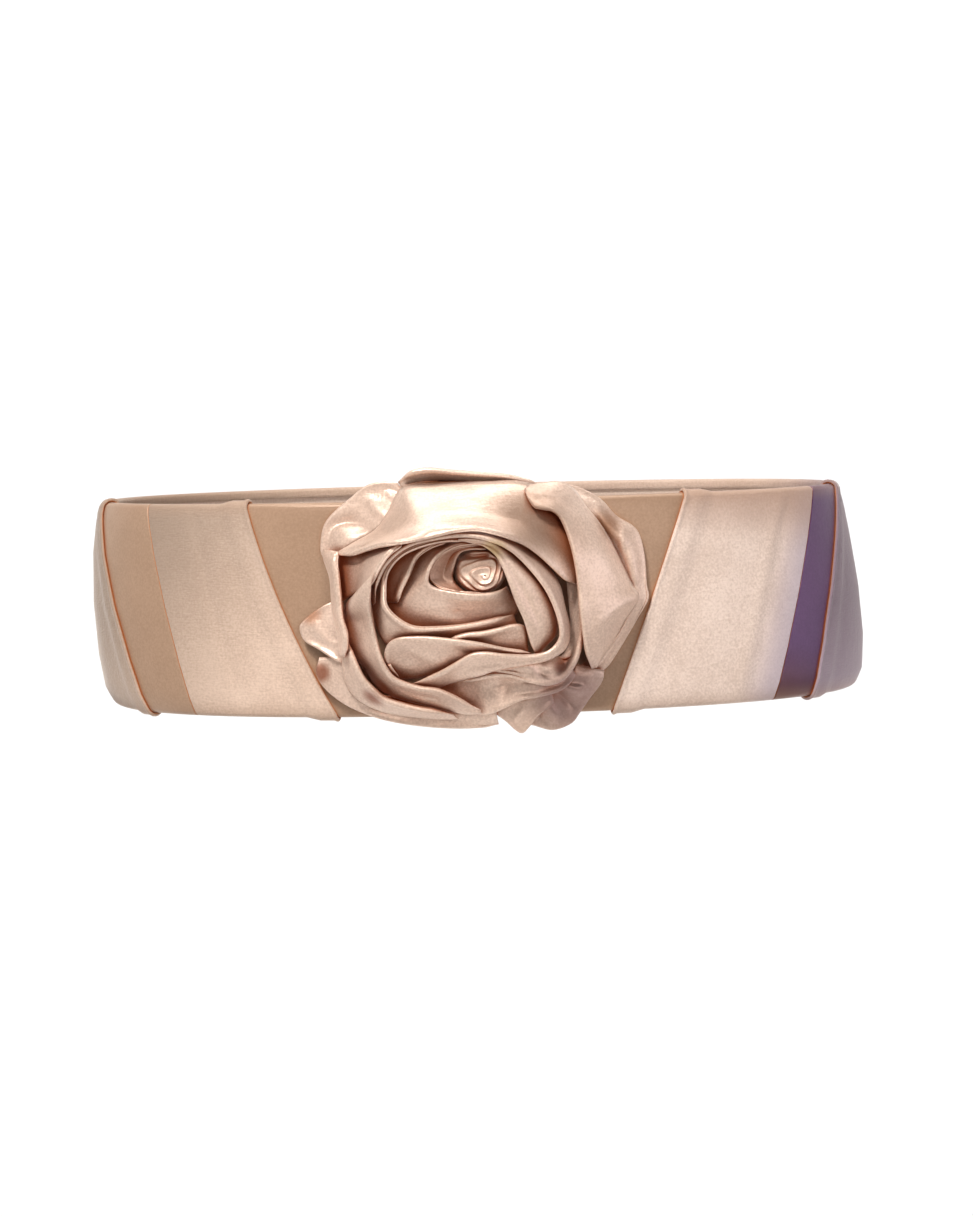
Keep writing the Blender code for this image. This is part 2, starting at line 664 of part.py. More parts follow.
class HeapField:
    """Height of all that has been laid so far, over the rose's own plane."""

    def __init__(self):
        self.ticks = np.arange(-FIELD_HALF, FIELD_HALF + FIELD_STEP / 2, FIELD_STEP)
        count = len(self.ticks)
        self.high = np.zeros((count, count))
        for row, z in enumerate(self.ticks):
            share = min(max((z + BUD_Z) / BELT_HEIGHT + 0.5, 0.0), 1.0)
            left = level_wall(seam_length("left_front_fold", share), share, 0.0)[0] - BUD_X
            right = level_wall(seam_length("right_front_fold", share), share, 0.0)[0] - BUD_X
            lapped = (self.ticks < left + 1.0) | (self.ticks > right - 1.0)
            self.high[row, lapped] = FOLD_RISE

    def spread(self, plan, high, target, keep):
        """Writes a grid's facets into target, keeping the higher or the lower."""
        rows, columns = high.shape
        for i in range(rows - 1):
            for j in range(columns - 1):
                corners = ((i, j), (i, j + 1), (i + 1, j + 1), (i + 1, j))
                for picks in ((0, 1, 2), (0, 2, 3)):
                    spots = [corners[pick] for pick in picks]
                    self.spread_facet([plan[s] for s in spots], [high[s] for s in spots], target, keep)

    def spread_facet(self, spots, heights, target, keep):
        spots = np.array(spots)
        low = np.clip(np.floor((spots.min(0) + FIELD_HALF) / FIELD_STEP).astype(int), 0, len(self.ticks) - 1)
        top = np.clip(np.ceil((spots.max(0) + FIELD_HALF) / FIELD_STEP).astype(int), 0, len(self.ticks) - 1)
        x = self.ticks[low[0]:top[0] + 1][None, :]
        z = self.ticks[low[1]:top[1] + 1][:, None]
        (x0, z0), (x1, z1), (x2, z2) = spots
        area = (x1 - x0) * (z2 - z0) - (x2 - x0) * (z1 - z0)
        if abs(area) < 1e-6:
            return
        first = ((x1 - x) * (z2 - z) - (x2 - x) * (z1 - z)) / area
        second = ((x2 - x) * (z0 - z) - (x0 - x) * (z2 - z)) / area
        third = 1 - first - second
        margin = -FIELD_STEP * 1.2 / max(math.sqrt(abs(area)), 1.0)
        inside = (first >= margin) & (second >= margin) & (third >= margin)
        plane = first * heights[0] + second * heights[1] + third * heights[2]
        window = target[low[1]:top[1] + 1, low[0]:top[0] + 1]
        window[inside] = keep(window[inside], plane[inside])

    def read_highest(self, spot, reach):
        column = int(round((spot[0] + FIELD_HALF) / FIELD_STEP))
        row = int(round((spot[1] + FIELD_HALF) / FIELD_STEP))
        return self.high[row - reach:row + reach + 1, column - reach:column + reach + 1].max()


def curve_through(points):
    """Places a step apart on a smooth curve through rows of numbers."""
    points = np.array(points, dtype=float)
    padded = np.vstack([2 * points[0] - points[1], points, 2 * points[-1] - points[-2]])
    dense = []
    for k in range(1, len(padded) - 2):
        before, start, end, after = padded[k - 1:k + 3]
        for t in np.linspace(0, 1, 12, endpoint=False):
            dense.append(0.5 * (
                2 * start + (end - before) * t + (2 * before - 5 * start + 4 * end - after) * t**2
                + (3 * start - before - 3 * end + after) * t**3))
    dense.append(padded[-2])
    dense = np.array(dense)
    lengths = np.concatenate([[0.0], np.cumsum(np.linalg.norm(np.diff(dense[:, :2], axis=0), axis=1))])
    count = max(5, int(round(lengths[-1] / PETAL_STEP)) + 1)
    marks = np.linspace(0, lengths[-1], count)
    return np.column_stack([np.interp(marks, lengths, dense[:, k]) for k in range(dense.shape[1])])


def petal_grid(rows):
    """Plan places and wished heights of a petal, from its rim to its hem."""
    curve = curve_through([PetalRow(*row) for row in rows])
    shares = np.concatenate([[0.0], np.linspace(RIM_SHARE, 1, PETAL_CELLS)])
    plan = np.zeros((len(curve), len(shares), 2))
    high = np.zeros((len(curve), len(shares)))
    for j, share in enumerate(shares):
        plan[:, j] = curve[:, 0:2] * (1 - share) + curve[:, 3:5] * share
        high[:, j] = curve[:, 2] + (curve[:, 5] - curve[:, 2]) * share**PETAL_ARCH
    return plan, high


def settle(field, plan, high):
    """Lifts a petal just clear of what lies under it, as laid cloth would rest."""
    columns = high.shape[1]
    wall = np.full(columns, PETAL_WALL)
    wall[0] = PETAL_WALL * RIM_PINCH
    wall[-1] = PETAL_WALL * HEM_PINCH
    middle = high - PETAL_WALL / 2
    for i in range(high.shape[0]):
        for j in range(columns):
            floor = field.read_highest(plan[i, j], 2) + PETAL_GAP + wall[j] / 2
            middle[i, j] = max(middle[i, j], floor)
    for _ in range(12):
        under = np.full_like(field.high, 999.0)
        field.spread(plan, middle - wall / 2, under, np.minimum)
        lack = np.where(under < 998.0, field.high + PETAL_GAP - under, 0.0)
        if lack.max() <= 0.0:
            break
        for i in range(high.shape[0]):
            for j in range(columns):
                column = int(round((plan[i, j][0] + FIELD_HALF) / FIELD_STEP))
                row = int(round((plan[i, j][1] + FIELD_HALF) / FIELD_STEP))
                near = lack[max(row - 6, 0):row + 7, max(column - 6, 0):column + 7]
                middle[i, j] += max(near.max(), 0.0)
    top = middle + wall / 2
    under = middle - wall / 2
    field.spread(plan, top, field.high, np.maximum)
    return top, under


def make_bud(field, finish):
    """The tight coil in the middle, wound outward from its core."""
    count = int(BUD_TURNS * 14)
    half = BUD_WALL / 2
    top = []
    under = []
    for k in range(count + 1):
        share = k / count
        turn = math.radians(60) - share * BUD_TURNS * 2 * math.pi
        out = BUD_CORE + (BUD_RADIUS - half - BUD_CORE) * share
        outer = ((out + half) * math.cos(turn), (out + half) * math.sin(turn) * 0.95)
        inner = ((out - half) * math.cos(turn), (out - half) * math.sin(turn) * 0.95)
        crown = BUD_TOP - 2.0 * share
        heights = (PETAL_GAP, crown * 0.5, crown)
        top.append([rose_place(*outer, high) for high in heights])
        under.append([rose_place(*inner, high) for high in heights])
    close_sheet("rose_bud", top, under, finish)
    x, z = np.meshgrid(field.ticks, field.ticks)
    field.high[np.hypot(x, z / 0.95) < BUD_RADIUS + 0.6] = BUD_TOP


def make_rose(finish):
    field = HeapField()
    for name, rows in PETALS.items():
        if name == "petal_eye_inner":
            make_bud(field, finish)
        plan, high = petal_grid(rows)
        top, under = settle(field, plan, high)
        grid = [(i, j) for i in range(high.shape[0]) for j in range(high.shape[1])]
        places = {spot: rose_place(*plan[spot], top[spot]) for spot in grid}
        below = {spot: rose_place(*plan[spot], under[spot]) for spot in grid}
        rows_count, columns = high.shape
        close_sheet(
            name,
            [[places[i, j] for j in range(columns)] for i in range(rows_count)],
            [[below[i, j] for j in range(columns)] for i in range(rows_count)],
            finish)


def build():
    clear_scene()
    finishes = {name: make_finish(name) for name in FINISHES}
    make_band(finishes["band_cloth"])
    make_panels(finishes["blush_crepe_back"], finishes["deep_blush_satin"], finishes["plum_satin"])
    make_closure(finishes["band_cloth"], finishes["hook_metal"])
    make_rose(finishes["rose_satin"])


build()
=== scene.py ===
import math
import bmesh
import bpy
import numpy as np
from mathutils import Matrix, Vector


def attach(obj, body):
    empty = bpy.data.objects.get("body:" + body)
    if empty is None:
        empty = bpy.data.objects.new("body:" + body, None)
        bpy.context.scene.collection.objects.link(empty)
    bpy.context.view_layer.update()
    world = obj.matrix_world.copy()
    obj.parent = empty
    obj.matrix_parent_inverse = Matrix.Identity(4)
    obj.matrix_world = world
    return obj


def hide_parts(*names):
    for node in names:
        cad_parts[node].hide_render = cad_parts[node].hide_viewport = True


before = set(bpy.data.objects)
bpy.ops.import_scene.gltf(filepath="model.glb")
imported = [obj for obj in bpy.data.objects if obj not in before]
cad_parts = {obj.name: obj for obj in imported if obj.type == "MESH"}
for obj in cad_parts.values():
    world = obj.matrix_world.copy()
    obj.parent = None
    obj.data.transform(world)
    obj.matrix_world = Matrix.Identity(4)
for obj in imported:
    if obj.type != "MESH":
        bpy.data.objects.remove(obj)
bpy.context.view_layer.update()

mm = 0.001
print("frame loaded")

# Lengths are millimetres until a mesh is made. The ring, its lean and its
# seams are the ones that the solids were made from.
ring = {
    "halfWidth": 141.9,
    "halfDepth": 96.9,
    "ovalPower": 2.2,
    "height": 76.0,
    "roll": math.radians(1.5),
}
lean = {
    "share": (0.00, 0.08, 0.25, 0.50, 0.75, 0.94, 1.00),
    "left": (7.0, 3.6, 1.4, 0.0, 0.6, 2.6, 4.2),
    "right": (3.2, 0.6, 0.0, 1.6, 4.6, 7.2, 8.1),
    "front": (0.8, 0.3, 0.0, 0.3, 1.2, 2.1, 2.6),
}
seams = {
    "leftSideFold": (-130.5, -145.6, -164.5),
    "leftBandSeam": (-106.5, -117.2, -128.3),
    "leftFrontFold": (-49.5, -68.4, -82.4),
    "rightFrontFold": (46.6, 60.9, 75.9),
    "rightBandSeam": (110.3, 122.8, 139.6),
    "rightSideFold": (129.0, 140.6, 163.0),
}


def ovalPoint(angle):
    side, ahead = np.sin(angle), np.cos(angle)
    power = ring["ovalPower"]
    x = ring["halfWidth"] * np.sign(side) * np.abs(side) ** (2 / power)
    y = -ring["halfDepth"] * np.sign(ahead) * np.abs(ahead) ** (2 / power)
    outX = np.sign(x) * np.abs(x / ring["halfWidth"]) ** (power - 1) / ring["halfWidth"]
    outY = np.sign(y) * np.abs(y / ring["halfDepth"]) ** (power - 1) / ring["halfDepth"]
    size = np.hypot(outX, outY)
    return x, y, outX / size, outY / size


ringAngles = np.linspace(-math.pi, math.pi, 7201)
ringX, ringY, _, _ = ovalPoint(ringAngles)
ringLengths = np.concatenate([[0.0], np.cumsum(np.hypot(np.diff(ringX), np.diff(ringY)))])
ringLengths -= np.interp(0.0, ringAngles, ringLengths)
halfGirth = ringLengths[-1]


def leanIn(outX, outY, share):
    left, right, front = (np.interp(share, lean["share"], lean[side]) for side in ("left", "right", "front"))
    return np.where(outX < 0, left, right) * outX**2 + front * outY**2


def rolled(x, y, z):
    c, s = math.cos(ring["roll"]), math.sin(ring["roll"])
    return np.stack([x * c - z * s, y, x * s + z * c], -1)


def wallPlace(length, share, out):
    length, share, out = np.broadcast_arrays(length, share, out)
    wrapped = (length + halfGirth) % (2 * halfGirth) - halfGirth
    x, y, outX, outY = ovalPoint(np.interp(wrapped, ringLengths, ringAngles))
    reach = out - leanIn(outX, outY, share)
    return rolled(x + outX * reach, y + outY * reach, (share - 0.5) * ring["height"])


def seamLength(name, share):
    low, middle, high = seams[name]
    return low + (high - low) * share + (middle - (low + high) / 2) * 4 * share * (1 - share)


def softNoise(x, y, scale, seed):
    rng = np.random.default_rng(seed)
    total = 0.0
    for k in range(5):
        turn, phase = rng.uniform(0, math.pi), rng.uniform(0, 2 * math.pi)
        pitch = scale * rng.uniform(0.6, 1.6)
        total = total + np.sin((x * math.cos(turn) + y * math.sin(turn)) * 2 * math.pi / pitch + phase)
    return total / 3.2


def wallMesh(name, top, under):
    rows, columns = top.shape[:2]
    count = rows * columns
    places = np.concatenate([top.reshape(-1, 3), under.reshape(-1, 3)]) * mm
    faces = []
    for i in range(rows - 1):
        for j in range(columns - 1):
            a = i * columns + j
            b, c, d = a + 1, a + columns + 1, a + columns
            faces.append((a, b, c, d))
            faces.append((a + count, d + count, c + count, b + count))
    grid = np.arange(count).reshape(rows, columns)
    rim = [*grid[0], *grid[1:, -1], *grid[-1, -2::-1], *grid[-2:0:-1, 0]]
    rim = [int(spot) for spot in rim]
    for a, b in zip(rim, rim[1:] + rim[:1]):
        faces.append((b, a, a + count, b + count))
    data = bpy.data.meshes.new(name)
    data.from_pydata(places.tolist(), [], faces)
    mesh = bmesh.new()
    mesh.from_mesh(data)
    bmesh.ops.recalc_face_normals(mesh, faces=mesh.faces[:])
    if mesh.calc_volume(signed=True) < 0:
        bmesh.ops.reverse_faces(mesh, faces=mesh.faces[:])
    mesh.to_mesh(data)
    mesh.free()
    data.shade_smooth()
    return data


def addSheet(name, top, under, material, node, slot, held, restsOn):
    piece = bpy.data.objects.new(name, wallMesh(name, top, under))
    piece.data.materials.append(material)
    bpy.context.scene.collection.objects.link(piece)
    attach(piece, "root")
    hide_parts(node)


def newMaterial(name, settings):
    material = bpy.data.materials.new(name)
    material.use_nodes = True
    shader = material.node_tree.nodes["Principled BSDF"]
    for socket, value in settings.items():
        shader.inputs[socket].default_value = value
    return material, material.node_tree, shader


def link(tree, start, end):
    tree.links.new(start, end)


def mathNode(tree, operation, first, second=None):
    node = tree.nodes.new("ShaderNodeMath")
    node.operation = operation
    for socket, value in zip(node.inputs, (first, second)):
        if value is None:
            continue
        if isinstance(value, (int, float)):
            socket.default_value = value
        else:
            link(tree, value, socket)
    return node.outputs[0]


def noiseNode(tree, vector, scale, detail, stretch=(1, 1, 1)):
    mapping = tree.nodes.new("ShaderNodeMapping")
    mapping.inputs["Scale"].default_value = stretch
    link(tree, vector, mapping.inputs["Vector"])
    noise = tree.nodes.new("ShaderNodeTexNoise")
    noise.inputs["Scale"].default_value = scale
    noise.inputs["Detail"].default_value = detail
    link(tree, mapping.outputs[0], noise.inputs["Vector"])
    return noise.outputs["Fac"]


def mixNode(tree, fac, first, second):
    node = tree.nodes.new("ShaderNodeMix")
    node.data_type = "RGBA"
    for socket, value in ((node.inputs[0], fac), (node.inputs[6], first), (node.inputs[7], second)):
        if isinstance(value, (int, float, tuple)):
            socket.default_value = value
        else:
            link(tree, value, socket)
    return node.outputs[2]


def rangeNode(tree, value, low, high):
    node = tree.nodes.new("ShaderNodeMapRange")
    node.interpolation_type = "SMOOTHSTEP"
    node.inputs["From Min"].default_value = low
    node.inputs["From Max"].default_value = high
    link(tree, value, node.inputs["Value"])
    return node.outputs[0]


def newGroup(name, inputs, outputs):
    tree = bpy.data.node_groups.new(name, "ShaderNodeTree")
    for label, value in inputs:
        socket = tree.interface.new_socket(label, in_out="INPUT", socket_type="NodeSocketFloat")
        socket.default_value = value
    for label in outputs:
        tree.interface.new_socket(label, in_out="OUTPUT", socket_type="NodeSocketFloat")
    return tree, tree.nodes.new("NodeGroupInput").outputs, tree.nodes.new("NodeGroupOutput").inputs


def weaveGroup():
    # Threads run up and across the cloth. Slub is its drift and speckle.
    tree, given, out = newGroup("fineWeave", (("Fineness", 1.0), ("Speckle", 0.55)), ("Height", "Slub"))
    sized = tree.nodes.new("ShaderNodeVectorMath")
    sized.operation = "SCALE"
    link(tree, tree.nodes.new("ShaderNodeTexCoord").outputs["Object"], sized.inputs["Vector"])
    link(tree, given["Fineness"], sized.inputs["Scale"])
    place = sized.outputs["Vector"]
    across = noiseNode(tree, place, 900, 2, (1, 1, 0.22))
    up = noiseNode(tree, place, 1100, 1, (0.3, 0.3, 1.6))
    grain = noiseNode(tree, place, 420, 3)
    threads = mathNode(tree, "MULTIPLY", mathNode(tree, "ADD", across, up), 0.5)
    link(tree, mathNode(tree, "ADD", threads, mathNode(tree, "MULTIPLY", grain, 0.6)), out["Height"])
    drift = mathNode(tree, "MULTIPLY", noiseNode(tree, place, 45, 2), 0.45)
    speckle = mathNode(tree, "MULTIPLY", noiseNode(tree, place, 1200, 1), given["Speckle"])
    link(tree, mathNode(tree, "ADD", drift, speckle), out["Slub"])
    return tree


def foldShadeGroup():
    # Painted shade: cloth deep in a fold is tinted the warm colour of the light bounced between the folds.
    tree, given, out = newGroup("paintedFoldShade", (("Reach", 0.016), ("Open", 0.72)), ("Mask",))
    shade = tree.nodes.new("ShaderNodeAmbientOcclusion")
    shade.samples = 6
    link(tree, given["Reach"], shade.inputs["Distance"])
    mask = tree.nodes.new("ShaderNodeMapRange")
    mask.interpolation_type = "SMOOTHSTEP"
    mask.inputs["From Max"].default_value = 0.10
    link(tree, shade.outputs["AO"], mask.inputs["Value"])
    link(tree, given["Open"], mask.inputs["From Min"])
    link(tree, mask.outputs[0], out["Mask"])
    return tree


weave = weaveGroup()
# This group paints warm shade deep in folds.
folds = foldShadeGroup()


def placeGroup(tree, shared, **given):
    group = tree.nodes.new("ShaderNodeGroup")
    group.node_tree = shared
    for socket, value in given.items():
        group.inputs[socket].default_value = value
    return group.outputs


def finishedMaterial(name, settings, colours, bump, tint=None):
    material, tree, shader = newMaterial(name, settings)
    cloth = placeGroup(tree, weave)
    mottle = rangeNode(tree, cloth["Slub"], 0.32, 0.68)
    colour = mixNode(tree, mottle, (*colours[0], 1), (*colours[1], 1))
    if tint:
        colour = tint(tree, colour)
    link(tree, colour, shader.inputs["Base Color"])
    relief = tree.nodes.new("ShaderNodeBump")
    relief.inputs["Strength"].default_value, relief.inputs["Distance"].default_value = bump
    link(tree, cloth["Height"], relief.inputs["Height"])
    link(tree, relief.outputs[0], shader.inputs["Normal"])
    return material


def placeSocket(tree):
    split = tree.nodes.new("ShaderNodeSeparateXYZ")
    link(tree, tree.nodes.new("ShaderNodeTexCoord").outputs["Object"], split.inputs[0])
    return split.outputs


def partOf(tree, mask, part):
    return mathNode(tree, "MULTIPLY", mask, part)


def paintFoldShade(tree, colour):
    # Paints warm shade deep in the rose's folds.
    return mixNode(tree, placeGroup(tree, folds)["Mask"], colour, tones["roseFoldShade"])


def paintPanelShade(tree, colour):
    # Painted shade: the rounded top and bottom edges are browner, and the cloth next to a fold is tinted warm
    # orange.
    x, y, z = placeSocket(tree)
    up = mathNode(tree, "ABSOLUTE", mathNode(tree, "SUBTRACT", z, mathNode(tree, "MULTIPLY", x, 0.026)))
    edgeShade = partOf(tree, rangeNode(tree, up, 0.0315, 0.0395), 0.45)
    colour = mixNode(tree, edgeShade, colour, tones["edge"])
    # Painted shade next to the folds.
    return mixNode(tree, placeGroup(tree, folds, Reach=0.005, Open=0.8)["Mask"], colour, tones["panelFold"])


def leftPanel(tree, colour):
    # Painted shade: the cloth darkens towards the left and the top, where less light falls.
    x, y, z = placeSocket(tree)
    slant = mathNode(tree, "SUBTRACT", x, mathNode(tree, "MULTIPLY", z, 0.6))
    dim = partOf(tree, rangeNode(tree, slant, -0.045, -0.150), 0.85)
    return paintPanelShade(tree, mixNode(tree, dim, colour, tones["shadedBlush"]))


def rightPanel(tree, colour):
    # Painted light and shade: lilac light comes in by the right seam, and painted shade browns the top.
    x, y, z = placeSocket(tree)
    slant = mathNode(tree, "SUBTRACT", x, mathNode(tree, "MULTIPLY", z, 0.26))
    lilacLight = partOf(tree, rangeNode(tree, slant, 0.100, 0.116), 0.7)
    colour = mixNode(tree, lilacLight, colour, tones["lilac"])
    slant = mathNode(tree, "ADD", z, mathNode(tree, "MULTIPLY", x, 0.16))
    shadedTop = partOf(tree, rangeNode(tree, slant, 0.034, 0.056), 0.75)
    colour = mixNode(tree, shadedTop, colour, tones["topShade"])
    return paintPanelShade(tree, colour)


def sidePanel(tree, colour):
    # Painted light and shade: greyed lilac shade in front, paler lilac light low down, and plain blush at the
    # back.
    x, y, z = placeSocket(tree)
    low = partOf(tree, rangeNode(tree, z, 0.006, -0.036), 0.7)
    front = mixNode(tree, low, tones["shadedLilac"], tones["litLilac"])
    front = mixNode(tree, 0.15, front, colour)
    return paintPanelShade(tree, mixNode(tree, rangeNode(tree, y, 0.005, 0.065), front, colour))


def plumDown(tree, colour):
    # Painted reflection: the purple cast turns darker and browner low down.
    x, y, z = placeSocket(tree)
    slant = mathNode(tree, "ADD", z, mathNode(tree, "MULTIPLY", x, 0.5))
    return paintPanelShade(tree, mixNode(tree, rangeNode(tree, slant, 0.046, 0.014), colour, tones["plumBrown"]))


def spotTint(tree, colour, spot):
    offset = tree.nodes.new("ShaderNodeVectorMath")
    offset.operation = "DISTANCE"
    offset.inputs[1].default_value = spot["place"]
    link(tree, tree.nodes.new("ShaderNodeTexCoord").outputs["Object"], offset.inputs[0])
    near = rangeNode(tree, offset.outputs["Value"], spot["reach"], spot["reach"] * 0.3)
    return mixNode(tree, partOf(tree, near, spot["share"]), colour, spot["colour"])


def roseTint(tree, colour):
    # Paints the stain and the shade spots, then the shade in the folds.
    for spot in stainAndShadeSpots:
        colour = spotTint(tree, colour, spot)
    return paintFoldShade(tree, colour)


# Colours painted in for light and shade: warm shade in folds, shade on edges, at the left and the top, lilac
# light and its shade at the right, and the purple reflection's darker foot.
tones = {
    "roseFoldShade": (0.42, 0.115, 0.03, 1),
    "panelFold": (0.62, 0.22, 0.06, 1),
    "edge": (0.36, 0.23, 0.155, 1),
    "shadedBlush": (0.27, 0.20, 0.15, 1),
    "lilac": (0.47, 0.40, 0.46, 1),
    "topShade": (0.42, 0.27, 0.20, 1),
    "shadedLilac": (0.17, 0.125, 0.175, 1),
    "litLilac": (0.40, 0.325, 0.385, 1),
    "plumBrown": (0.13, 0.05, 0.04, 1),
}
# Places where the rose satin's colour differs, in metres in the belt's frame. The yellow stain is the satin's
# own; the rest are painted shade, with a purple cast at the low right.
stainAndShadeSpots = (
    {"what": "yellow stain", "place": (0.006, -0.128, 0.0215), "reach": 0.006,
     "share": 0.55, "colour": (0.62, 0.45, 0.16, 1)},
    # Painted shade from here on.
    {"what": "dusky low right", "place": (0.034, -0.106, -0.032), "reach": 0.021,
     "share": 0.7, "colour": (0.27, 0.16, 0.15, 1)},
    {"what": "dim low middle", "place": (-0.012, -0.118, -0.036), "reach": 0.014,
     "share": 0.45, "colour": (0.34, 0.20, 0.14, 1)},
    {"what": "valley at the top right", "place": (0.027, -0.108, 0.022), "reach": 0.014,
     "share": 0.7, "colour": (0.42, 0.18, 0.085, 1)},
    {"what": "groove at the right", "place": (0.044, -0.098, 0.028), "reach": 0.009,
     "share": 0.8, "colour": (0.33, 0.15, 0.07, 1)},
    {"what": "slit under the tuck", "place": (-0.012, -0.098, 0.045), "reach": 0.011,
     "share": 0.7, "colour": (0.40, 0.14, 0.05, 1)},
    {"what": "hole at the low left", "place": (-0.035, -0.107, -0.029), "reach": 0.0065,
     "share": 0.9, "colour": (0.24, 0.055, 0.015, 1)},
    {"what": "hole at the low right", "place": (0.029, -0.110, -0.020), "reach": 0.0045,
     "share": 0.9, "colour": (0.14, 0.04, 0.02, 1)},
    {"what": "hole by the left curl", "place": (-0.055, -0.099, -0.023), "reach": 0.005,
     "share": 0.8, "colour": (0.28, 0.08, 0.03, 1)},
    {"what": "dusk on the top petal", "place": (0.018, -0.119, 0.032), "reach": 0.020,
     "share": 0.7, "colour": (0.36, 0.23, 0.16, 1)},
    {"what": "dusk at the upper left", "place": (-0.028, -0.114, 0.028), "reach": 0.014,
     "share": 0.45, "colour": (0.48, 0.32, 0.235, 1)},
    {"what": "fold of the left tip", "place": (-0.058, -0.097, -0.002), "reach": 0.006,
     "share": 0.7, "colour": (0.55, 0.24, 0.12, 1)},
)
satinLook = {
    "Roughness": 0.43,
    "Metallic": 0.4,
    "Anisotropic": 0.5,
    "Sheen Weight": 0.2,
    "Sheen Roughness": 0.4,
    "Sheen Tint": (1.0, 0.88, 0.8, 1),
    "Specular IOR Level": 0.5,
}
crepeLook = {
    "Roughness": 0.62,
    "Sheen Weight": 0.3,
    "Sheen Roughness": 0.4,
    "Sheen Tint": (1.0, 0.92, 0.86, 1),
    "Specular IOR Level": 0.35,
}
darkSatinLook = {**satinLook, "Metallic": 0.15}
liningLook = {"Roughness": 0.85, "Sheen Weight": 0.2}
metalLook = {"Roughness": 0.32, "Metallic": 1.0}
# Strength and depth in metres of the relief in each kind of surface.
grainy, smooth, satiny, bare = (0.5, 0.0006), (0.2, 0.0004), (0.3, 0.0005), (0.08, 0.0001)
materials = {
    "crepe": finishedMaterial(
        "blushCrepe", crepeLook, ((0.59, 0.435, 0.34), (0.72, 0.55, 0.44)), grainy, leftPanel),
    # Painted light: a lighter copy of the blush crepe for the better lit right front panel.
    "crepeLitRight": finishedMaterial(
        "blushCrepeLit", crepeLook, ((0.64, 0.50, 0.415), (0.80, 0.65, 0.555)), grainy, rightPanel),
    "crepeSide": finishedMaterial(
        "blushCrepeSide", crepeLook, ((0.56, 0.42, 0.34), (0.68, 0.53, 0.44)), grainy, sidePanel),
    # Painted reflection: blush satin darkened to stand in for the dim surroundings it reflects.
    "satinDarkReflection": finishedMaterial(
        "blushSatinDarkReflection", darkSatinLook, ((0.39, 0.255, 0.17), (0.45, 0.30, 0.205)), smooth, paintPanelShade),
    # Painted reflection: blush satin coloured by the purple light it reflects.
    "satinPlumReflection": finishedMaterial(
        "plumReflectionSatin", darkSatinLook, ((0.10, 0.045, 0.115), (0.125, 0.057, 0.14)), smooth, plumDown),
    "satinRose": finishedMaterial(
        "roseSatin", satinLook, ((0.65, 0.475, 0.375), (0.81, 0.62, 0.505)), satiny, roseTint),
    "lining": finishedMaterial(
        "liningCloth", liningLook, ((0.52, 0.40, 0.33), (0.60, 0.48, 0.40)), grainy),
    "hookMetal": finishedMaterial(
        "hookMetal", metalLook, ((0.66, 0.65, 0.62), (0.74, 0.73, 0.70)), bare),
}
print("materials made")


band = {
    "wall": 1.6,
    "halfHeight": 36.3,
    "quilt": 0.08,
    "quiltPitch": 34,
    "endGap": 0.3,
}


def makeBand():
    end = halfGirth - band["endGap"]
    high = band["halfHeight"]
    lengths = np.linspace(-end, end, 260)
    ups = np.concatenate([[-high, 0.2 - high, 0.7 - high], np.linspace(1.8 - high, high - 1.8, 24),
                          [high - 0.7, high - 0.2, high]])
    share = ups / ring["height"] + 0.5
    rounding = np.interp(np.abs(ups), [high - 0.7, high - 0.2, high], [0.0, 0.25, 0.7])
    wave = band["quilt"] * softNoise(lengths[:, None], ups[None, :], band["quiltPitch"], 4)
    top = wallPlace(lengths[:, None], share[None, :], band["wall"] - rounding)
    under = wallPlace(lengths[:, None], share[None, :], rounding + wave)
    addSheet("liningBand", top, under, materials["lining"], "base_band", "band_cloth", "stretched", ["waist"])


panelCut = {
    "thick": 0.9,
    "outside": 2.5,
    "inside": -0.78,
    "turnUp": 36.4,
    "turnReach": 1.2,
    "hem": 34.4,
    "rise": 1.15,
    "lap": 7.0,
    "ramp": 5.0,
    "tuck": 6.0,
    "seamHalf": 0.12,
    "deepest": -0.35,
    "foldNose": 0.66,
    "seamNose": 0.4,
    "bead": 0.22,
    "beadFrom": 0.75,
    "beadWidth": 0.7,
    "wave": 0.06,
    "wavePitch": 46,
    "calm": 8,
    "frontLift": 0.2,
}


def panelPath():
    c = panelCut
    middle, half = (c["outside"] + c["inside"]) / 2, (c["outside"] - c["inside"]) / 2
    path = [(c["inside"], -c["hem"], -1, 0), (c["inside"], 0.7 - c["turnUp"], -1, 0)]

    def turnOver(start, end, centre):
        for turn in np.linspace(start, end, 9):
            slope = np.array([math.cos(turn) / half, math.sin(turn) / c["turnReach"]])
            slope /= np.linalg.norm(slope)
            path.append((middle + half * math.cos(turn), centre + c["turnReach"] * math.sin(turn), *slope))

    turnOver(math.pi, 2 * math.pi, -c["turnUp"])
    for up in np.linspace(-c["turnUp"], c["turnUp"], 30)[1:-1]:
        path.append((c["outside"], up, 1, 0))
    turnOver(0, math.pi, c["turnUp"])
    path += [(c["inside"], c["turnUp"] - 0.7, -1, 0), (c["inside"], c["hem"], -1, 0)]
    path = np.array(path)
    return path[:, 0], path[:, 1], path[:, 2:]


# Soft creases pressed into a panel: length round at the bottom, middle and
# top, depth and half width.
creases = {
    "frontPanelLeft": (((-82.4, -95.6, -104.6), -0.35, 2.4), ((-88.0, -100.0, -110.0), 0.22, 4.0)),
    "frontPanelRight": (
        ((99.0, 109.0, 124.0), -0.35, 2.4),
        ((93.5, 104.0, 119.0), 0.35, 2.6),
        ((70.0, 84.0, 98.0), 0.15, 8.0),
    ),
    "sidePanelRight": (((170.0, 176.0, 186.0), 0.3, 9.0),),
    "sidePanelLeft": (((-160.0, -168.0, -180.0), 0.3, 8.0),),
}


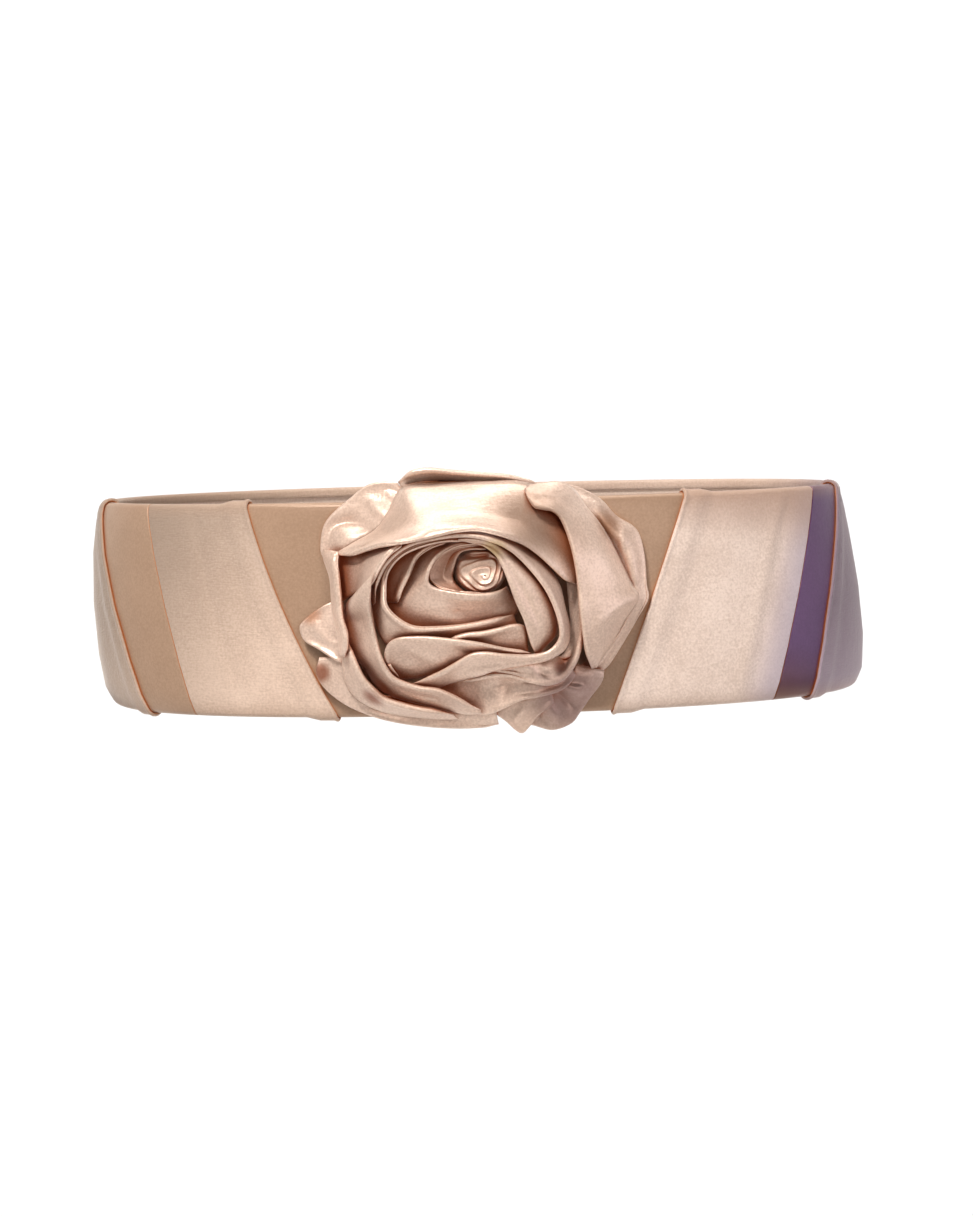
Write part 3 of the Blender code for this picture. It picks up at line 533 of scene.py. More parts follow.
def makePanel(name, node, start, end, folds, material, slot, seed, step=2.4):
    c = panelCut
    outs, ups, normals = panelPath()
    share = np.clip(ups / ring["height"] + 0.5, 0, 1)
    edge = np.array([0.0, 0.1, 0.3, 0.6, 1.0, 1.5, 2.2, 3.2, 4.6, 7.0, 9.0, 12.0])
    first, last = start(share), end(share)
    seamEdge = np.array([0.0, 0.06, 0.16, 0.3, 0.5, 0.9, 2.0])
    head = edge if folds[0] else seamEdge
    tail = edge if folds[1] else seamEdge
    cells = max(4, int((last - first - head[-1] - tail[-1]).mean() / step))
    body = np.linspace(0, 1, cells + 1)[1:-1]
    span = last - first
    lengths = np.concatenate([
        first[None, :] + head[:, None],
        first[None, :] + head[-1] + body[:, None] * (span - head[-1] - tail[-1])[None, :],
        last[None, :] - tail[::-1, None]])
    fromStart, fromEnd = lengths - first, last - lengths
    rise = np.zeros_like(lengths)
    half = np.full_like(lengths, c["thick"] / 2)
    for folded, distance in ((folds[0], fromStart), (folds[1], fromEnd)):
        if folded:
            rise = np.maximum(rise, c["rise"] * np.clip(1 - (distance - c["lap"]) / c["ramp"], 0, 1))
            bead = c["bead"] * np.exp(-((distance - c["beadFrom"]) / c["beadWidth"]) ** 2)
            half += bead
            rise += bead
        nose = c["foldNose"] if folded else c["seamNose"]
        half = half * np.sqrt(np.clip(1 - (1 - np.clip(distance / nose, 0.02, 1)) ** 2, 0, 1))
    onFront = np.interp(np.abs(ups), [30, 37], [1.0, 0.0])[None, :]
    calm = np.clip((np.minimum(fromStart, fromEnd) - c["calm"]) / c["calm"], 0, 1)
    wave = c["wave"] * softNoise(lengths, ups[None, :], c["wavePitch"], seed) * calm
    for places, depth, width in creases.get(name, ()):
        low, middle, high = places
        line = low + (high - low) * share + (middle - (low + high) / 2) * 4 * share * (1 - share)
        wave = wave + depth * np.exp(-((lengths - line[None, :]) / width) ** 2)
    wave = np.maximum(wave, c["deepest"])
    inner = (outs < c["outside"] - 0.1)[None, :]
    lift = rise + np.where(inner, 0.0, (wave + c["frontLift"]) * onFront)
    skins = []
    for away in (lift + half, lift - half):
        skins.append(wallPlace(
            lengths,
            (ups[None, :] + normals[None, :, 1] * away) / ring["height"] + 0.5,
            outs[None, :] + normals[None, :, 0] * away))
    addSheet(name, *skins, material, node, slot, "stretched", ["liningBand"])


def makePanels():
    def at(name, shift=0.0):
        return lambda share: seamLength(name, share) + shift

    back = halfGirth - band["endGap"]
    tuck, seam = panelCut["tuck"], panelCut["seamHalf"]
    m = materials
    # The deep blush and plum satin colours are painted reflections.
    light, dark, plum = "blush_crepe", "deep_blush_satin", "plum_satin"
    makePanel("sidePanelLeft", "side_panel_left", lambda s: -back + s * 0, at("leftSideFold"),
              (False, True), m["crepe"], light, 11, 3.0)
    makePanel("darkBandLeft", "dark_band_left", at("leftSideFold", -tuck), at("leftBandSeam", -seam),
              (False, False), m["satinDarkReflection"], dark, 12)
    makePanel("frontPanelLeft", "front_panel_left", at("leftBandSeam", seam), at("leftFrontFold"),
              (False, True), m["crepe"], light, 13, 1.6)
    makePanel("centrePanel", "centre_panel", at("leftFrontFold", -tuck), at("rightFrontFold", tuck),
              (False, False), m["satinDarkReflection"], dark, 14)
    makePanel("frontPanelRight", "front_panel_right", at("rightFrontFold"), at("rightBandSeam", -seam),
              (True, False), m["crepeLitRight"], light, 15, 1.6)
    makePanel("darkBandRight", "dark_band_right", at("rightBandSeam", seam), at("rightSideFold", tuck),
              (False, False), m["satinPlumReflection"], plum, 16)
    makePanel("sidePanelRight", "side_panel_right", at("rightSideFold"), lambda s: back + s * 0,
              (True, False), m["crepeSide"], light, 17, 3.0)


tab = {
    "root": -26.0,
    "end": 30.0,
    "halfHeight": 33.8,
    "wall": 1.0,
    "room": 3.9,
    "gap": 0.35,
}


def tabRows(lengths, ups, room, half):
    share = ups / ring["height"] + 0.5
    top = wallPlace(halfGirth - lengths[:, None], share[None, :], -room[:, None] - tab["wall"] / 2 + half)
    under = wallPlace(halfGirth - lengths[:, None], share[None, :], -room[:, None] - tab["wall"] / 2 - half)
    return top, under


def makeTab():
    edge = np.array([0.0, 0.15, 0.5])
    root, end, top = tab["root"], tab["end"], tab["halfHeight"]
    lengths = np.concatenate([root + edge, np.linspace(root + 2, end - 2, 26), end - edge[::-1]])
    ups = np.concatenate([edge - top, np.linspace(2 - top, top - 2, 20), top - edge[::-1]])
    room = np.interp(lengths, (root, -8, 0, 6), (tab["gap"], tab["gap"], tab["room"] * 0.6, tab["room"]))
    inset = np.minimum(np.minimum(lengths - root, end - lengths)[:, None], (top - np.abs(ups))[None, :])
    half = tab["wall"] / 2 * np.sqrt(np.clip(1 - (1 - np.clip(inset / 0.5, 0.05, 1)) ** 2, 0, 1))
    outer, inner = tabRows(lengths, ups, room, half)
    addSheet("closureTab", outer, inner, materials["lining"], "closure_underlap", "band_cloth", "stretched",
             ["liningBand"])


def finishHooks():
    for number in (1, 2, 3):
        for kind in ("hook", "hook_bar"):
            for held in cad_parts[f"{kind}_{number}"].material_slots:
                held.material = materials["hookMetal"]


makeBand()
makePanels()
makeTab()
finishHooks()
print("band, panels and closure made")


rose = {
    "budX": 1.6,
    "budZ": 13.9,
    "face": 3.1,
    "thick": 0.9,
    "gap": 0.25,
    "step": 1.1,
    "across": 15,
    "lapHigh": 1.6,
    "clothHigh": 0.35,
    "fieldStep": 0.4,
    "fieldHalf": 78.0,
}

# Each stretch of the folded strip, in the order it is laid. A row is the place
# across and up from the bud's centre and the height over the belt, for the
# rounded rim and then for the flat hem.
petals = {
    "petal_right_edge": (
        (21.5, 28, 4, 24, 23, 5), (32, 27.5, 3, 30.5, 21.5, 4), (41.5, 23, 2.5, 35.5, 17, 3),
        (47.5, 16.5, 2, 41.5, 12, 3), (54.5, 11.5, 2, 46, 6, 3), (57, 3, 2, 49.5, -0.5, 3),
        (57.5, -7, 2, 51, -6.5, 3), (58, -12.5, 2, 51.5, -12, 3), (54, -19, 2, 49, -18, 3),
        (49, -27, 2, 44.5, -25, 3), (43.5, -35, 2, 38.5, -31.5, 3), (38.5, -39.5, 2, 34, -35, 3)),
    "petal_lower_right": (
        (42.5, -37, 4, 32, -34, 6), (40.5, -41.5, 4, 31, -37.5, 6), (36.5, -46.5, 4, 27.5, -40, 6),
        (33, -51.5, 3, 24.5, -41.5, 6), (30, -55, 2.5, 21, -42.5, 5), (23.5, -57, 2, 17.5, -44, 5),
        (16.5, -55, 2, 14, -45, 5), (10.5, -54, 2, 10.5, -45.5, 5)),
    "petal_bottom_tip": (
        (3.5, -50, 6, 8, -44.5, 7), (7.5, -53, 5.5, 10.5, -45.5, 7), (11, -56.5, 5, 12.5, -45.5, 7),
        (13.5, -57.5, 5, 15, -45, 7), (16.5, -54.5, 5.5, 17.5, -44.5, 7), (19.5, -51, 6, 20, -43.5, 7),
        (24.5, -47.5, 6, 23.5, -43, 7)),
    "petal_lower_left": (
        (-57.5, -30, 4, -48.5, -29.5, 6), (-58, -35.5, 4, -48.5, -33, 6),
        (-55.5, -40.5, 3.5, -46, -36.5, 6), (-50.5, -45, 3, -42.5, -40, 6),
        (-44.5, -48.5, 2.5, -37, -43, 5), (-35, -52, 2, -30, -44, 5), (-21.5, -54.5, 1.5, -19.5, -44, 5),
        (-7.5, -55.5, 1.5, -7, -45, 5), (5, -55, 2, 3.5, -45.5, 5)),
    "petal_left_tip": (
        (-52.5, -10.5, 5, -48, -10.5, 7), (-57.5, -13.5, 5, -48, -14, 7), (-62, -17, 4.5, -48, -17, 7),
        (-63.5, -19.5, 4.5, -48, -19.5, 7), (-62, -24, 4.5, -48, -22, 7), (-57, -27, 4.5, -48, -25, 7),
        (-53, -29.5, 5, -48, -27.5, 7), (-49, -32, 5, -47.5, -30, 7)),
    "petal_upper_left": (
        (-55, 4, 2, -47.5, 4, 6), (-55.5, 8.5, 2, -47.5, 7, 6), (-54.5, 15, 2, -46.5, 8.5, 6),
        (-51.5, 19.5, 2, -43, 10.5, 7), (-45.5, 24.5, 2.5, -38.5, 13, 8), (-39.5, 29, 3, -34, 15.5, 9),
        (-34.5, 30.5, 4, -28.5, 19, 10), (-28, 30.5, 5, -23, 21.5, 10)),
    "petal_top_tuck": (
        (-28, 31, 7, -26, 28, 3), (-23.5, 34, 9, -22.5, 28, 3), (-17.5, 35, 9.5, -16, 28, 3),
        (-8.5, 34, 9.5, -9, 28.5, 3), (1, 33, 9, 0, 28.5, 3.5), (10, 32, 8.5, 9, 29, 4.5),
        (17.5, 30, 7.5, 17, 28, 5.5), (23, 28, 6.5, 22, 25.5, 6)),
    "petal_eye_inner": (
        (3, 9, 22, 2, 7.5, 20), (-4, 9, 22, -3, 7.5, 19), (-11, 7.5, 22, -7, 6, 17),
        (-15.5, 3.5, 21.5, -9, 1.5, 15.5), (-17.5, -1.5, 21, -9.5, -2.5, 15.5),
        (-14.5, -5, 20.5, -6.5, -6.5, 17), (-8, -7, 20.5, -2.5, -8, 19), (1.5, -7.5, 21, 3.5, -8.5, 19.5)),
    "petal_eye": (
        (4, 10, 24, 4, 11, 18), (-2, 10, 24.5, -3, 12, 18), (-9, 9, 25, -11.5, 11, 18),
        (-15.5, 5, 25, -19.5, 8, 18), (-18.5, -1.5, 24.5, -29, -3.5, 16.5), (-17, -5, 23.5, -33, -15, 15),
        (-9.5, -7, 22.5, -24, -22, 14.5), (-1, -8, 21.5, -6.5, -23.5, 14.5),
        (5.5, -7.5, 20.5, 7.5, -20, 14.5), (9, -5.5, 19, 13.5, -13.5, 14)),
    "petal_second": (
        (-10.5, 11, 24.5, -11.5, 11.5, 20), (-17, 9, 24.5, -19.5, 11, 20), (-22, 5.5, 24, -26.5, 7.5, 19),
        (-25, -0.5, 23, -31.5, 0.5, 18), (-28, -6.5, 21, -33, -6, 17), (-29, -10.5, 19, -33, -10.5, 16)),
    "petal_third": (
        (-2, 11, 25.5, -3, 12.5, 20), (-11, 11.5, 26, -11.5, 13, 20), (-19.5, 10, 26, -21.5, 11.5, 20),
        (-27.5, 6.5, 26, -31, 8, 19), (-32.5, 0.5, 25.5, -36.5, 0.5, 18), (-33.5, -6.5, 25, -38, -7.5, 17),
        (-33, -11.5, 24.5, -37.5, -15.5, 16), (-29, -16, 23.5, -34.5, -23.5, 15),
        (-23.5, -19, 22.5, -27.5, -29, 14), (-16, -19.5, 21, -16.5, -30, 13),
        (-6.5, -19, 20, -5, -29.5, 13), (3, -17.5, 19, 5.5, -28, 13), (11, -15.5, 17, 14.5, -25.5, 13)),
    "petal_below_bud": (
        (-11.5, -23.5, 18, -13, -29.5, 12), (-5.5, -22, 19, -6, -29.5, 12), (0.5, -21.5, 19, 0.5, -30, 12),
        (6, -20.5, 19, 5.5, -31, 12), (11, -19.5, 18.5, 11, -32, 12), (15.5, -20, 18, 16, -32, 12)),
    "petal_leaf": (
        (-7.5, 11, 25.5, -7, 12, 22), (-2, 10.5, 26, -1, 12, 22), (2, 9, 26, 5.5, 11, 21),
        (6, 5.5, 26, 12, 6.5, 20), (8.5, 0.5, 25.5, 17.5, 0.5, 19), (10.5, -5, 25, 22, -6, 18),
        (12.5, -11, 24, 25, -12.5, 16.5), (15, -17, 22.5, 26, -19, 15), (16.5, -22.5, 21, 25.5, -23.5, 14),
        (18, -28, 19, 22, -27, 14), (19, -30, 17, 19.5, -30.5, 14)),
    "petal_low_leaf": (
        (-29.5, -36, 13, -29, -39, 9), (-33, -31.5, 15, -30.5, -39, 9), (-33, -26, 17, -30, -38, 9.5),
        (-29, -23, 18.5, -24.5, -37.5, 10), (-20.5, -22.5, 19, -16.5, -36.5, 10),
        (-11, -23.5, 19, -8.5, -35, 11), (-1.5, -25, 19, -0.5, -34, 11), (8, -27.5, 18.5, 7, -34.5, 11),
        (17, -29, 18, 15, -34.5, 11)),
    "petal_bottom": (
        (-12.5, -45, 5, -17.5, -41, 6), (-7, -48, 5.5, -13, -38.5, 7), (-1, -50.5, 7, -7.5, -37.5, 8),
        (3.5, -49.5, 9, -2.5, -36, 9), (8, -47.5, 9.5, 3, -35.5, 9), (13, -45.5, 9.5, 8, -35, 9),
        (19, -44.5, 9.5, 15, -35.5, 9), (25.5, -43, 9, 22, -36, 9), (30, -40.5, 8, 27.5, -34.5, 8.5),
        (32.5, -38, 7, 30, -33.5, 8)),
    "petal_inner_right": (
        (34.5, -6, 13, 30, -5.5, 9), (35, -12.5, 13, 30.5, -12.5, 8.5), (35, -19.5, 13, 31, -19.5, 8.5),
        (34, -26.5, 13, 30.5, -26.5, 8.5), (32, -32.5, 13, 27.5, -31, 8.5), (28, -38, 12.5, 24, -30.5, 8.5),
        (22, -40, 12, 19.5, -32.5, 8.5), (15, -38.5, 12, 13.5, -33, 8.5), (9, -36.5, 12, 8, -34, 8.5),
        (3.5, -36.5, 11.5, 3.5, -33.5, 8.5), (-1.5, -37.5, 11, -0.5, -34.5, 8.5),
        (-7.5, -39, 10, -4.5, -36, 8)),
    "petal_outer_rim": (
        (-36.5, -10, 21, -37.5, -11, 19), (-36, -4.5, 23, -37.5, -5.5, 19), (-33.5, 2, 24.5, -35, 2.5, 20),
        (-29, 7, 25.5, -30.5, 8, 20), (-23, 10.5, 26, -24, 11.5, 20), (-16, 12, 26, -16.5, 13.5, 20),
        (-8, 13, 26, -8, 15, 20), (-1, 12.5, 26, -0.5, 15, 20), (5.5, 10.5, 26, 7.5, 13, 19),
        (12, 6.5, 25, 15.5, 9.5, 18), (18.5, -0.5, 24, 22, 3, 17), (23, -7, 23, 27, -5, 16),
        (26, -14, 22, 29, -13.5, 16), (27.5, -21, 21, 30.5, -21.5, 15), (26.5, -25.5, 20, 29, -28, 14),
        (22.5, -29, 19.5, 23, -31.5, 14), (16, -30, 19, 15, -33, 13), (8, -29.5, 19, 5.5, -34.5, 12.5),
        (1, -28.5, 18.5, -1, -36.5, 12), (-4, -29, 18, -5, -37.5, 11.5), (-9.5, -32, 17, -10.5, -39, 11),
        (-15.5, -35.5, 15, -15, -40.5, 10.5), (-21.5, -38, 13.5, -20.5, -41.5, 10),
        (-26, -39.5, 12, -24.5, -41.5, 10)),
    "petal_left_panel": (
        (-26.5, 10.5, 22, -50, 6, 8), (-31, 7.5, 22, -50, 2.5, 8), (-34.5, 3, 21, -50, -2, 8),
        (-37, -1.5, 19.5, -49.5, -6, 8), (-39.5, -5, 18, -49, -10.5, 8)),
    "petal_left": (
        (-36.5, 1, 20, -47, -10.5, 8), (-38, -4, 19, -48, -14, 8), (-38.5, -10, 18.5, -48.5, -17.5, 8),
        (-38, -17, 18, -48, -22, 8), (-37, -24, 17.5, -46.5, -27.5, 6.5), (-35, -31, 17, -41.5, -34.5, 4.5),
        (-32, -36, 16, -38, -40, 3), (-28, -38.5, 15, -32, -44, 3), (-22, -40.5, 14, -25, -46, 5),
        (-16, -41.5, 13.5, -18, -48, 6), (-10.5, -44, 13, -12.5, -49.5, 5.5),
        (-5.5, -47, 12, -6.5, -50.5, 5), (-1, -49, 10, -1, -50.5, 5)),
    "petal_top": (
        (-49.5, 6, 13, -50, 7, 9), (-43.5, 7, 17, -43.5, 10.5, 9), (-34.5, 10, 21, -36.5, 14.5, 9),
        (-24.5, 11.5, 24.5, -31.5, 21, 9.5), (-16, 13, 26.5, -26.5, 29, 10), (-9, 14.5, 27, -15.5, 30, 10),
        (-1.5, 15, 27, -5, 30.5, 10), (5.5, 13.5, 26.5, 4.5, 30.5, 9.5), (11, 11.5, 25.5, 12.5, 30.5, 9),
        (16, 9, 24.5, 19.5, 29, 8.5), (21, 5, 23, 26.5, 25.5, 8), (25.5, 0.5, 21, 32.5, 19, 8),
        (29.5, -3.5, 18.5, 36.5, 10, 8), (34, -6, 15, 37.5, 1.5, 8)),
    "petal_right": (
        (16, 27.5, 7.5, 17.5, 29, 7), (17.5, 24.5, 11, 22.5, 29.5, 7), (20, 22, 15, 28.5, 29.5, 6),
        (23, 21, 17.5, 33.5, 26.5, 4.5), (26, 20, 19, 37.5, 20.5, 3.5), (29, 17, 19.5, 42, 14.5, 3.2),
        (31.5, 10.5, 20, 46.5, 7, 3.2), (33.5, 2, 20, 50, -0.5, 3.2), (34.5, -7, 19, 53, -7.5, 3.5),
        (35, -15.5, 19, 55, -12, 3.5), (36, -24.5, 17, 49.5, -20, 3.2), (37, -31.5, 13, 44, -29, 3.2),
        (38, -36, 8, 40, -35.5, 3.5)),
    "petal_lower_fold": (
        (-47.5, -21.5, 13, -48.5, -24, 7), (-46.5, -26, 14, -49, -30, 5.5),
        (-44.5, -31.5, 14.5, -49, -36.5, 4.5), (-42, -37, 14, -46.5, -42.5, 4),
        (-38.5, -41, 13, -42, -46.5, 4), (-34.5, -44.5, 12, -35.5, -49.5, 4),
        (-29, -46.5, 11, -28.5, -51, 4), (-23, -48, 10, -20.5, -52, 4.5), (-17, -49, 9, -13.5, -52.5, 4.5),
        (-11, -50.5, 8, -9, -52.5, 4.5)),
    "petal_left_fold": (
        (-49.5, 7.5, 13, -55, 8, 4), (-50.5, 4.5, 15, -55, 4.5, 4), (-50, -1.5, 16, -53, -2, 4),
        (-49.5, -8.5, 16, -52.5, -9, 4), (-49, -15.5, 15, -52, -16, 4), (-47.5, -21.5, 13, -50.5, -22.5, 4),
        (-48, -29, 11, -49.5, -29.5, 4)),
}


def faceDepth(x, z):
    share = np.clip(z / ring["height"] + 0.5, 0, 1)
    width, depth, power = ring["halfWidth"], ring["halfDepth"], ring["ovalPower"]
    ratio = np.minimum(np.abs(x) / (width + rose["face"]), 0.95)
    outX = np.sign(x) * ratio ** (power - 1) / width
    outY = -((1 - ratio**power) ** ((power - 1) / power)) / depth
    size = np.hypot(outX, outY)
    reach = rose["face"] - leanIn(outX / size, outY / size, share)
    ratio = np.minimum(np.abs(x) / (width + reach), 0.95)
    return -(depth + reach) * (1 - ratio**power) ** (1 / power)


def rosePlace(spots):
    x, z, high = spots[..., 0] + rose["budX"], spots[..., 1] + rose["budZ"], spots[..., 2]
    return rolled(x, faceDepth(x, z) - high, z)


def addRoseSheet(label, top, under, node):
    addSheet(label, rosePlace(top), rosePlace(under), materials["satinRose"], node, "rose_satin",
             "folded", ["centrePanel"])


def curveThrough(rows, step):
    points = np.array(rows, dtype=float)
    padded = np.vstack([2 * points[0] - points[1], points, 2 * points[-1] - points[-2]])
    dense = []
    for k in range(1, len(padded) - 2):
        before, start, end, after = padded[k - 1:k + 3]
        for t in np.linspace(0, 1, 24, endpoint=False):
            dense.append(0.5 * (
                2 * start + (end - before) * t + (2 * before - 5 * start + 4 * end - after) * t**2
                + (3 * start - before - 3 * end + after) * t**3))
    dense = np.array(dense + [padded[-2]])
    lengths = np.concatenate([[0.0], np.cumsum(np.linalg.norm(np.diff(dense[:, :3], axis=0), axis=1))])
    marks = np.linspace(0, lengths[-1], max(12, int(lengths[-1] / step)))
    return np.column_stack([np.interp(marks, lengths, dense[:, k]) for k in range(dense.shape[1])])


def gridNormals(grid):
    along = np.gradient(grid, axis=0)
    across = np.gradient(grid, axis=1)
    normal = np.cross(along, across)
    normal /= np.linalg.norm(normal, axis=2, keepdims=True) + 1e-9
    return np.where(normal[..., 2:] < 0, -normal, normal)


def refine(grid, factor):
    rows, columns = grid.shape[:2]
    i = np.linspace(0, rows - 1, (rows - 1) * factor + 1)
    j = np.linspace(0, columns - 1, (columns - 1) * factor + 1)
    i0, j0 = np.minimum(i.astype(int), rows - 2), np.minimum(j.astype(int), columns - 2)
    u, v = (i - i0)[:, None, None], (j - j0)[None, :, None]
    a, b = grid[i0][:, j0], grid[i0][:, j0 + 1]
    c, d = grid[i0 + 1][:, j0], grid[i0 + 1][:, j0 + 1]
    return (a * (1 - v) + b * v) * (1 - u) + (c * (1 - v) + d * v) * u


fieldTicks = np.arange(-rose["fieldHalf"], rose["fieldHalf"] + 0.2, rose["fieldStep"])
field = np.zeros((len(fieldTicks), len(fieldTicks)))


def fieldIndex(spots):
    cells = np.round((spots[..., :2] + rose["fieldHalf"]) / rose["fieldStep"]).astype(int)
    return np.clip(cells, 0, len(fieldTicks) - 1)


def startField():
    # The field holds how high the cloth lies so far, so that each petal rests on it.
    for row, z in enumerate(fieldTicks):
        share = min(max((z + rose["budZ"]) / ring["height"] + 0.5, 0.0), 1.0)
        left = wallPlace(seamLength("leftFrontFold", share), share, 0.0)[0] - rose["budX"]
        right = wallPlace(seamLength("rightFrontFold", share), share, 0.0)[0] - rose["budX"]
        lapped = (fieldTicks < left + 1) | (fieldTicks > right - 1)
        field[row] = np.where(lapped, rose["lapHigh"], rose["clothHigh"])


def spreadTop(grid):
    fine = refine(grid, 4).reshape(-1, 3)
    cells = fieldIndex(fine)
    for dx, dz in ((0, 0), (1, 0), (-1, 0), (0, 1), (0, -1)):
        x = np.clip(cells[:, 0] + dx, 0, len(fieldTicks) - 1)
        z = np.clip(cells[:, 1] + dz, 0, len(fieldTicks) - 1)
        np.maximum.at(field, (z, x), fine[:, 2])


def widest(values, reach):
    for gather in (np.max, np.mean):
        for axis, r in enumerate(reach):
            padded = np.pad(values, [(r, r) if k == axis else (0, 0) for k in range(2)], mode="edge")
            count = values.shape[axis]
            values = gather([np.take(padded, range(k, k + count), axis) for k in range(2 * r + 1)], axis=0)
    return values


def petalSkins(middle, half, rimRadius):
    normal = gridNormals(middle)
    top = middle + normal * half[..., None]
    under = middle - normal * half[..., None]
    inward = middle[:, 1] - middle[:, 0]
    inward /= np.linalg.norm(inward, axis=1, keepdims=True) + 1e-9

    def nose(degrees):
        # The rim's rounded fold, from its tip to one of the skins.
        spots = []
        for turn in np.radians(degrees):
            spots.append(middle[:, 0] + normal[:, 0] * (math.sin(turn) * rimRadius)[:, None]
                         - inward * (math.cos(turn) * rimRadius)[:, None] * 0.9)
        return np.stack(spots, 1)

    over, below = nose((0, 25, 50, 75)), nose((0, -25, -50, -75))
    return np.concatenate([over, top], 1), np.concatenate([below, under], 1)


# Radius of the rim's fold, and of the hem's where that is folded too, in a
# petal that differs from the rest. A pucker is a ridge between two places on
# the petal, as shares along and across, with its height and width in mm.
petalFinish = {
    "petal_right": {"rim": 1.25, "hem": 1.1, "noise": 0.5, "swell": 2.2, "point": 0.16, "puckers": (
        (0.12, 0.25, 0.60, 0.40, -1.2, 2.6), (0.20, 0.62, 0.70, 0.70, 1.2, 3.0),
        (0.80, 0.10, 0.66, 1.0, 0.9, 2.0))},
    "petal_top": {"rim": 0.9, "noise": 0.35, "arch": 1.9, "puckers": (
        (0.02, 0.75, 0.16, 0.30, 1.0, 1.6), (0.04, 0.95, 0.20, 0.75, 0.9, 1.3),
        (0.20, 0.95, 0.24, 0.40, -0.9, 1.8), (0.62, 0.30, 0.98, 0.42, -3.2, 4.5))},
    "petal_outer_rim": {"rim": 0.95},
    "petal_third": {"rim": 1.05, "noise": 0.5, "arch": 0.8},
    "petal_eye": {"rim": 0.8, "noise": 0.4, "arch": 0.9, "puckers": (
        (0.30, 0.35, 0.36, 1.0, 1.3, 1.8), (0.48, 0.30, 0.46, 1.0, -1.2, 2.0),
        (0.62, 0.30, 0.80, 0.75, 1.0, 2.2))},
    "petal_eye_inner": {"rim": 0.6, "arch": 0.9, "noise": 0.1},
    "petal_second": {"rim": 0.9, "arch": 0.9},
    "petal_leaf": {"rim": 0.8, "noise": 0.4, "swell": 1.2, "point": 0.14, "puckers": (
        (0.30, 0.15, 0.80, 0.40, -1.3, 1.8), (0.45, 0.75, 0.85, 0.85, 1.2, 2.0))},
    "petal_low_leaf": {"rim": 0.9, "noise": 0.6, "puckers": (
        (0.25, 0.05, 0.50, 0.80, 1.4, 2.2), (0.55, 0.10, 0.75, 0.60, -1.6, 2.4),
        (0.10, 0.4, 0.24, 0.9, -1.0, 2.0))},
    "petal_upper_left": {"rim": 0.8, "noise": 0.9, "puckers": (
        (0.30, 0.05, 0.62, 0.95, -1.6, 2.4), (0.70, 0.20, 0.80, 0.90, 1.5, 1.5),
        (0.88, 0.30, 0.95, 0.80, 1.2, 1.0))},
    "petal_right_edge": {"rim": 1.0, "noise": 0.7, "arch": 1.0, "swell": 3.6, "puckers": (
        (0.20, 0.30, 0.34, 0.80, -1.2, 1.8), (0.36, 0.20, 0.44, 0.80, 1.1, 1.6),
        (0.62, 0.1, 0.60, 0.9, -0.9, 1.3))},
    "petal_lower_left": {"rim": 0.9, "noise": 0.6},
    "petal_inner_right": {"rim": 1.2, "noise": 0.5, "puckers": (
        (0.38, 0.30, 0.42, 0.7, -3.4, 1.6), (0.55, 0.10, 0.60, 0.9, -1.2, 1.6),
        (0.66, 0.2, 0.80, 0.5, 0.8, 1.6))},
    "petal_left_fold": {"rim": 1.3, "noise": 0.3},
    "petal_left_panel": {"rim": 1.0, "noise": 0.5, "arch": 0.9},
    "petal_lower_right": {"rim": 0.8, "noise": 0.9, "puckers": (
        (0.20, 0.10, 0.32, 0.90, 1.6, 2.0), (0.40, 0.10, 0.45, 0.90, -1.8, 2.0),
        (0.60, 0.10, 0.60, 0.90, 1.5, 1.8), (0.76, 0.10, 0.70, 0.90, -1.4, 1.6))},
    "petal_bottom": {"rim": 0.9, "noise": 0.5, "point": 0.14, "puckers": (
        (0.45, 0.15, 0.55, 0.90, -0.9, 2.4), (0.70, 0.20, 0.75, 0.85, 0.7, 2.0))},
    "petal_left": {"rim": 1.0, "noise": 0.5, "point": 0.12, "puckers": (
        (0.50, 0.25, 0.80, 0.45, -0.8, 1.7),)},
    "petal_lower_fold": {"rim": 1.3, "noise": 0.3, "point": 0.16},
    "petal_bottom_tip": {"rim": 0.7, "puckers": ((0.30, 0.10, 0.50, 0.90, 0.8, 1.6),)},
    "petal_left_tip": {"rim": 0.8, "noise": 0.5, "puckers": ((0.30, 0.20, 0.70, 0.60, 0.9, 1.5),)},
    "petal_top_tuck": {"rim": 1.0, "noise": 0.2, "point": 0.14, "puckers": (
        (0.06, 0.55, 0.55, 0.50, -2.4, 1.5), (0.60, 0.45, 0.90, 0.50, -1.6, 1.2),
        (0.02, 0.3, 0.05, 0.8, 1.5, 1.0))},
}
plainPetal = {"rim": 1.05, "hem": 0.0, "noise": 0.35, "arch": 1.4, "swell": 0.0, "point": 0.08, "puckers": ()}
flattened = {"width": 14.0, "noise": 17.0}


def petalRelief(finish, along, shares, length, seed):
    x, y = along[:, None] * length, shares[None, :] * flattened["width"]
    fade = np.minimum(1, shares * 3)
    relief = finish["swell"] * np.sin(math.pi * shares[None, :]) ** 1.5
    relief = relief + finish["noise"] * softNoise(x, y, flattened["noise"], seed) * fade
    for startAlong, startAcross, endAlong, endAcross, high, width in finish["puckers"]:
        start = np.array([startAlong * length, startAcross * flattened["width"]])
        end = np.array([endAlong * length, endAcross * flattened["width"]])
        run = end - start
        share = ((x - start[0]) * run[0] + (y - start[1]) * run[1]) / (run @ run)
        held = np.clip(share, 0, 1)
        away = np.hypot(x - start[0] - run[0] * held, y - start[1] - run[1] * held)
        relief = relief + high * np.exp(-(away / width) ** 2) * (0.4 + 0.6 * np.sin(math.pi * held)) * fade
    return relief


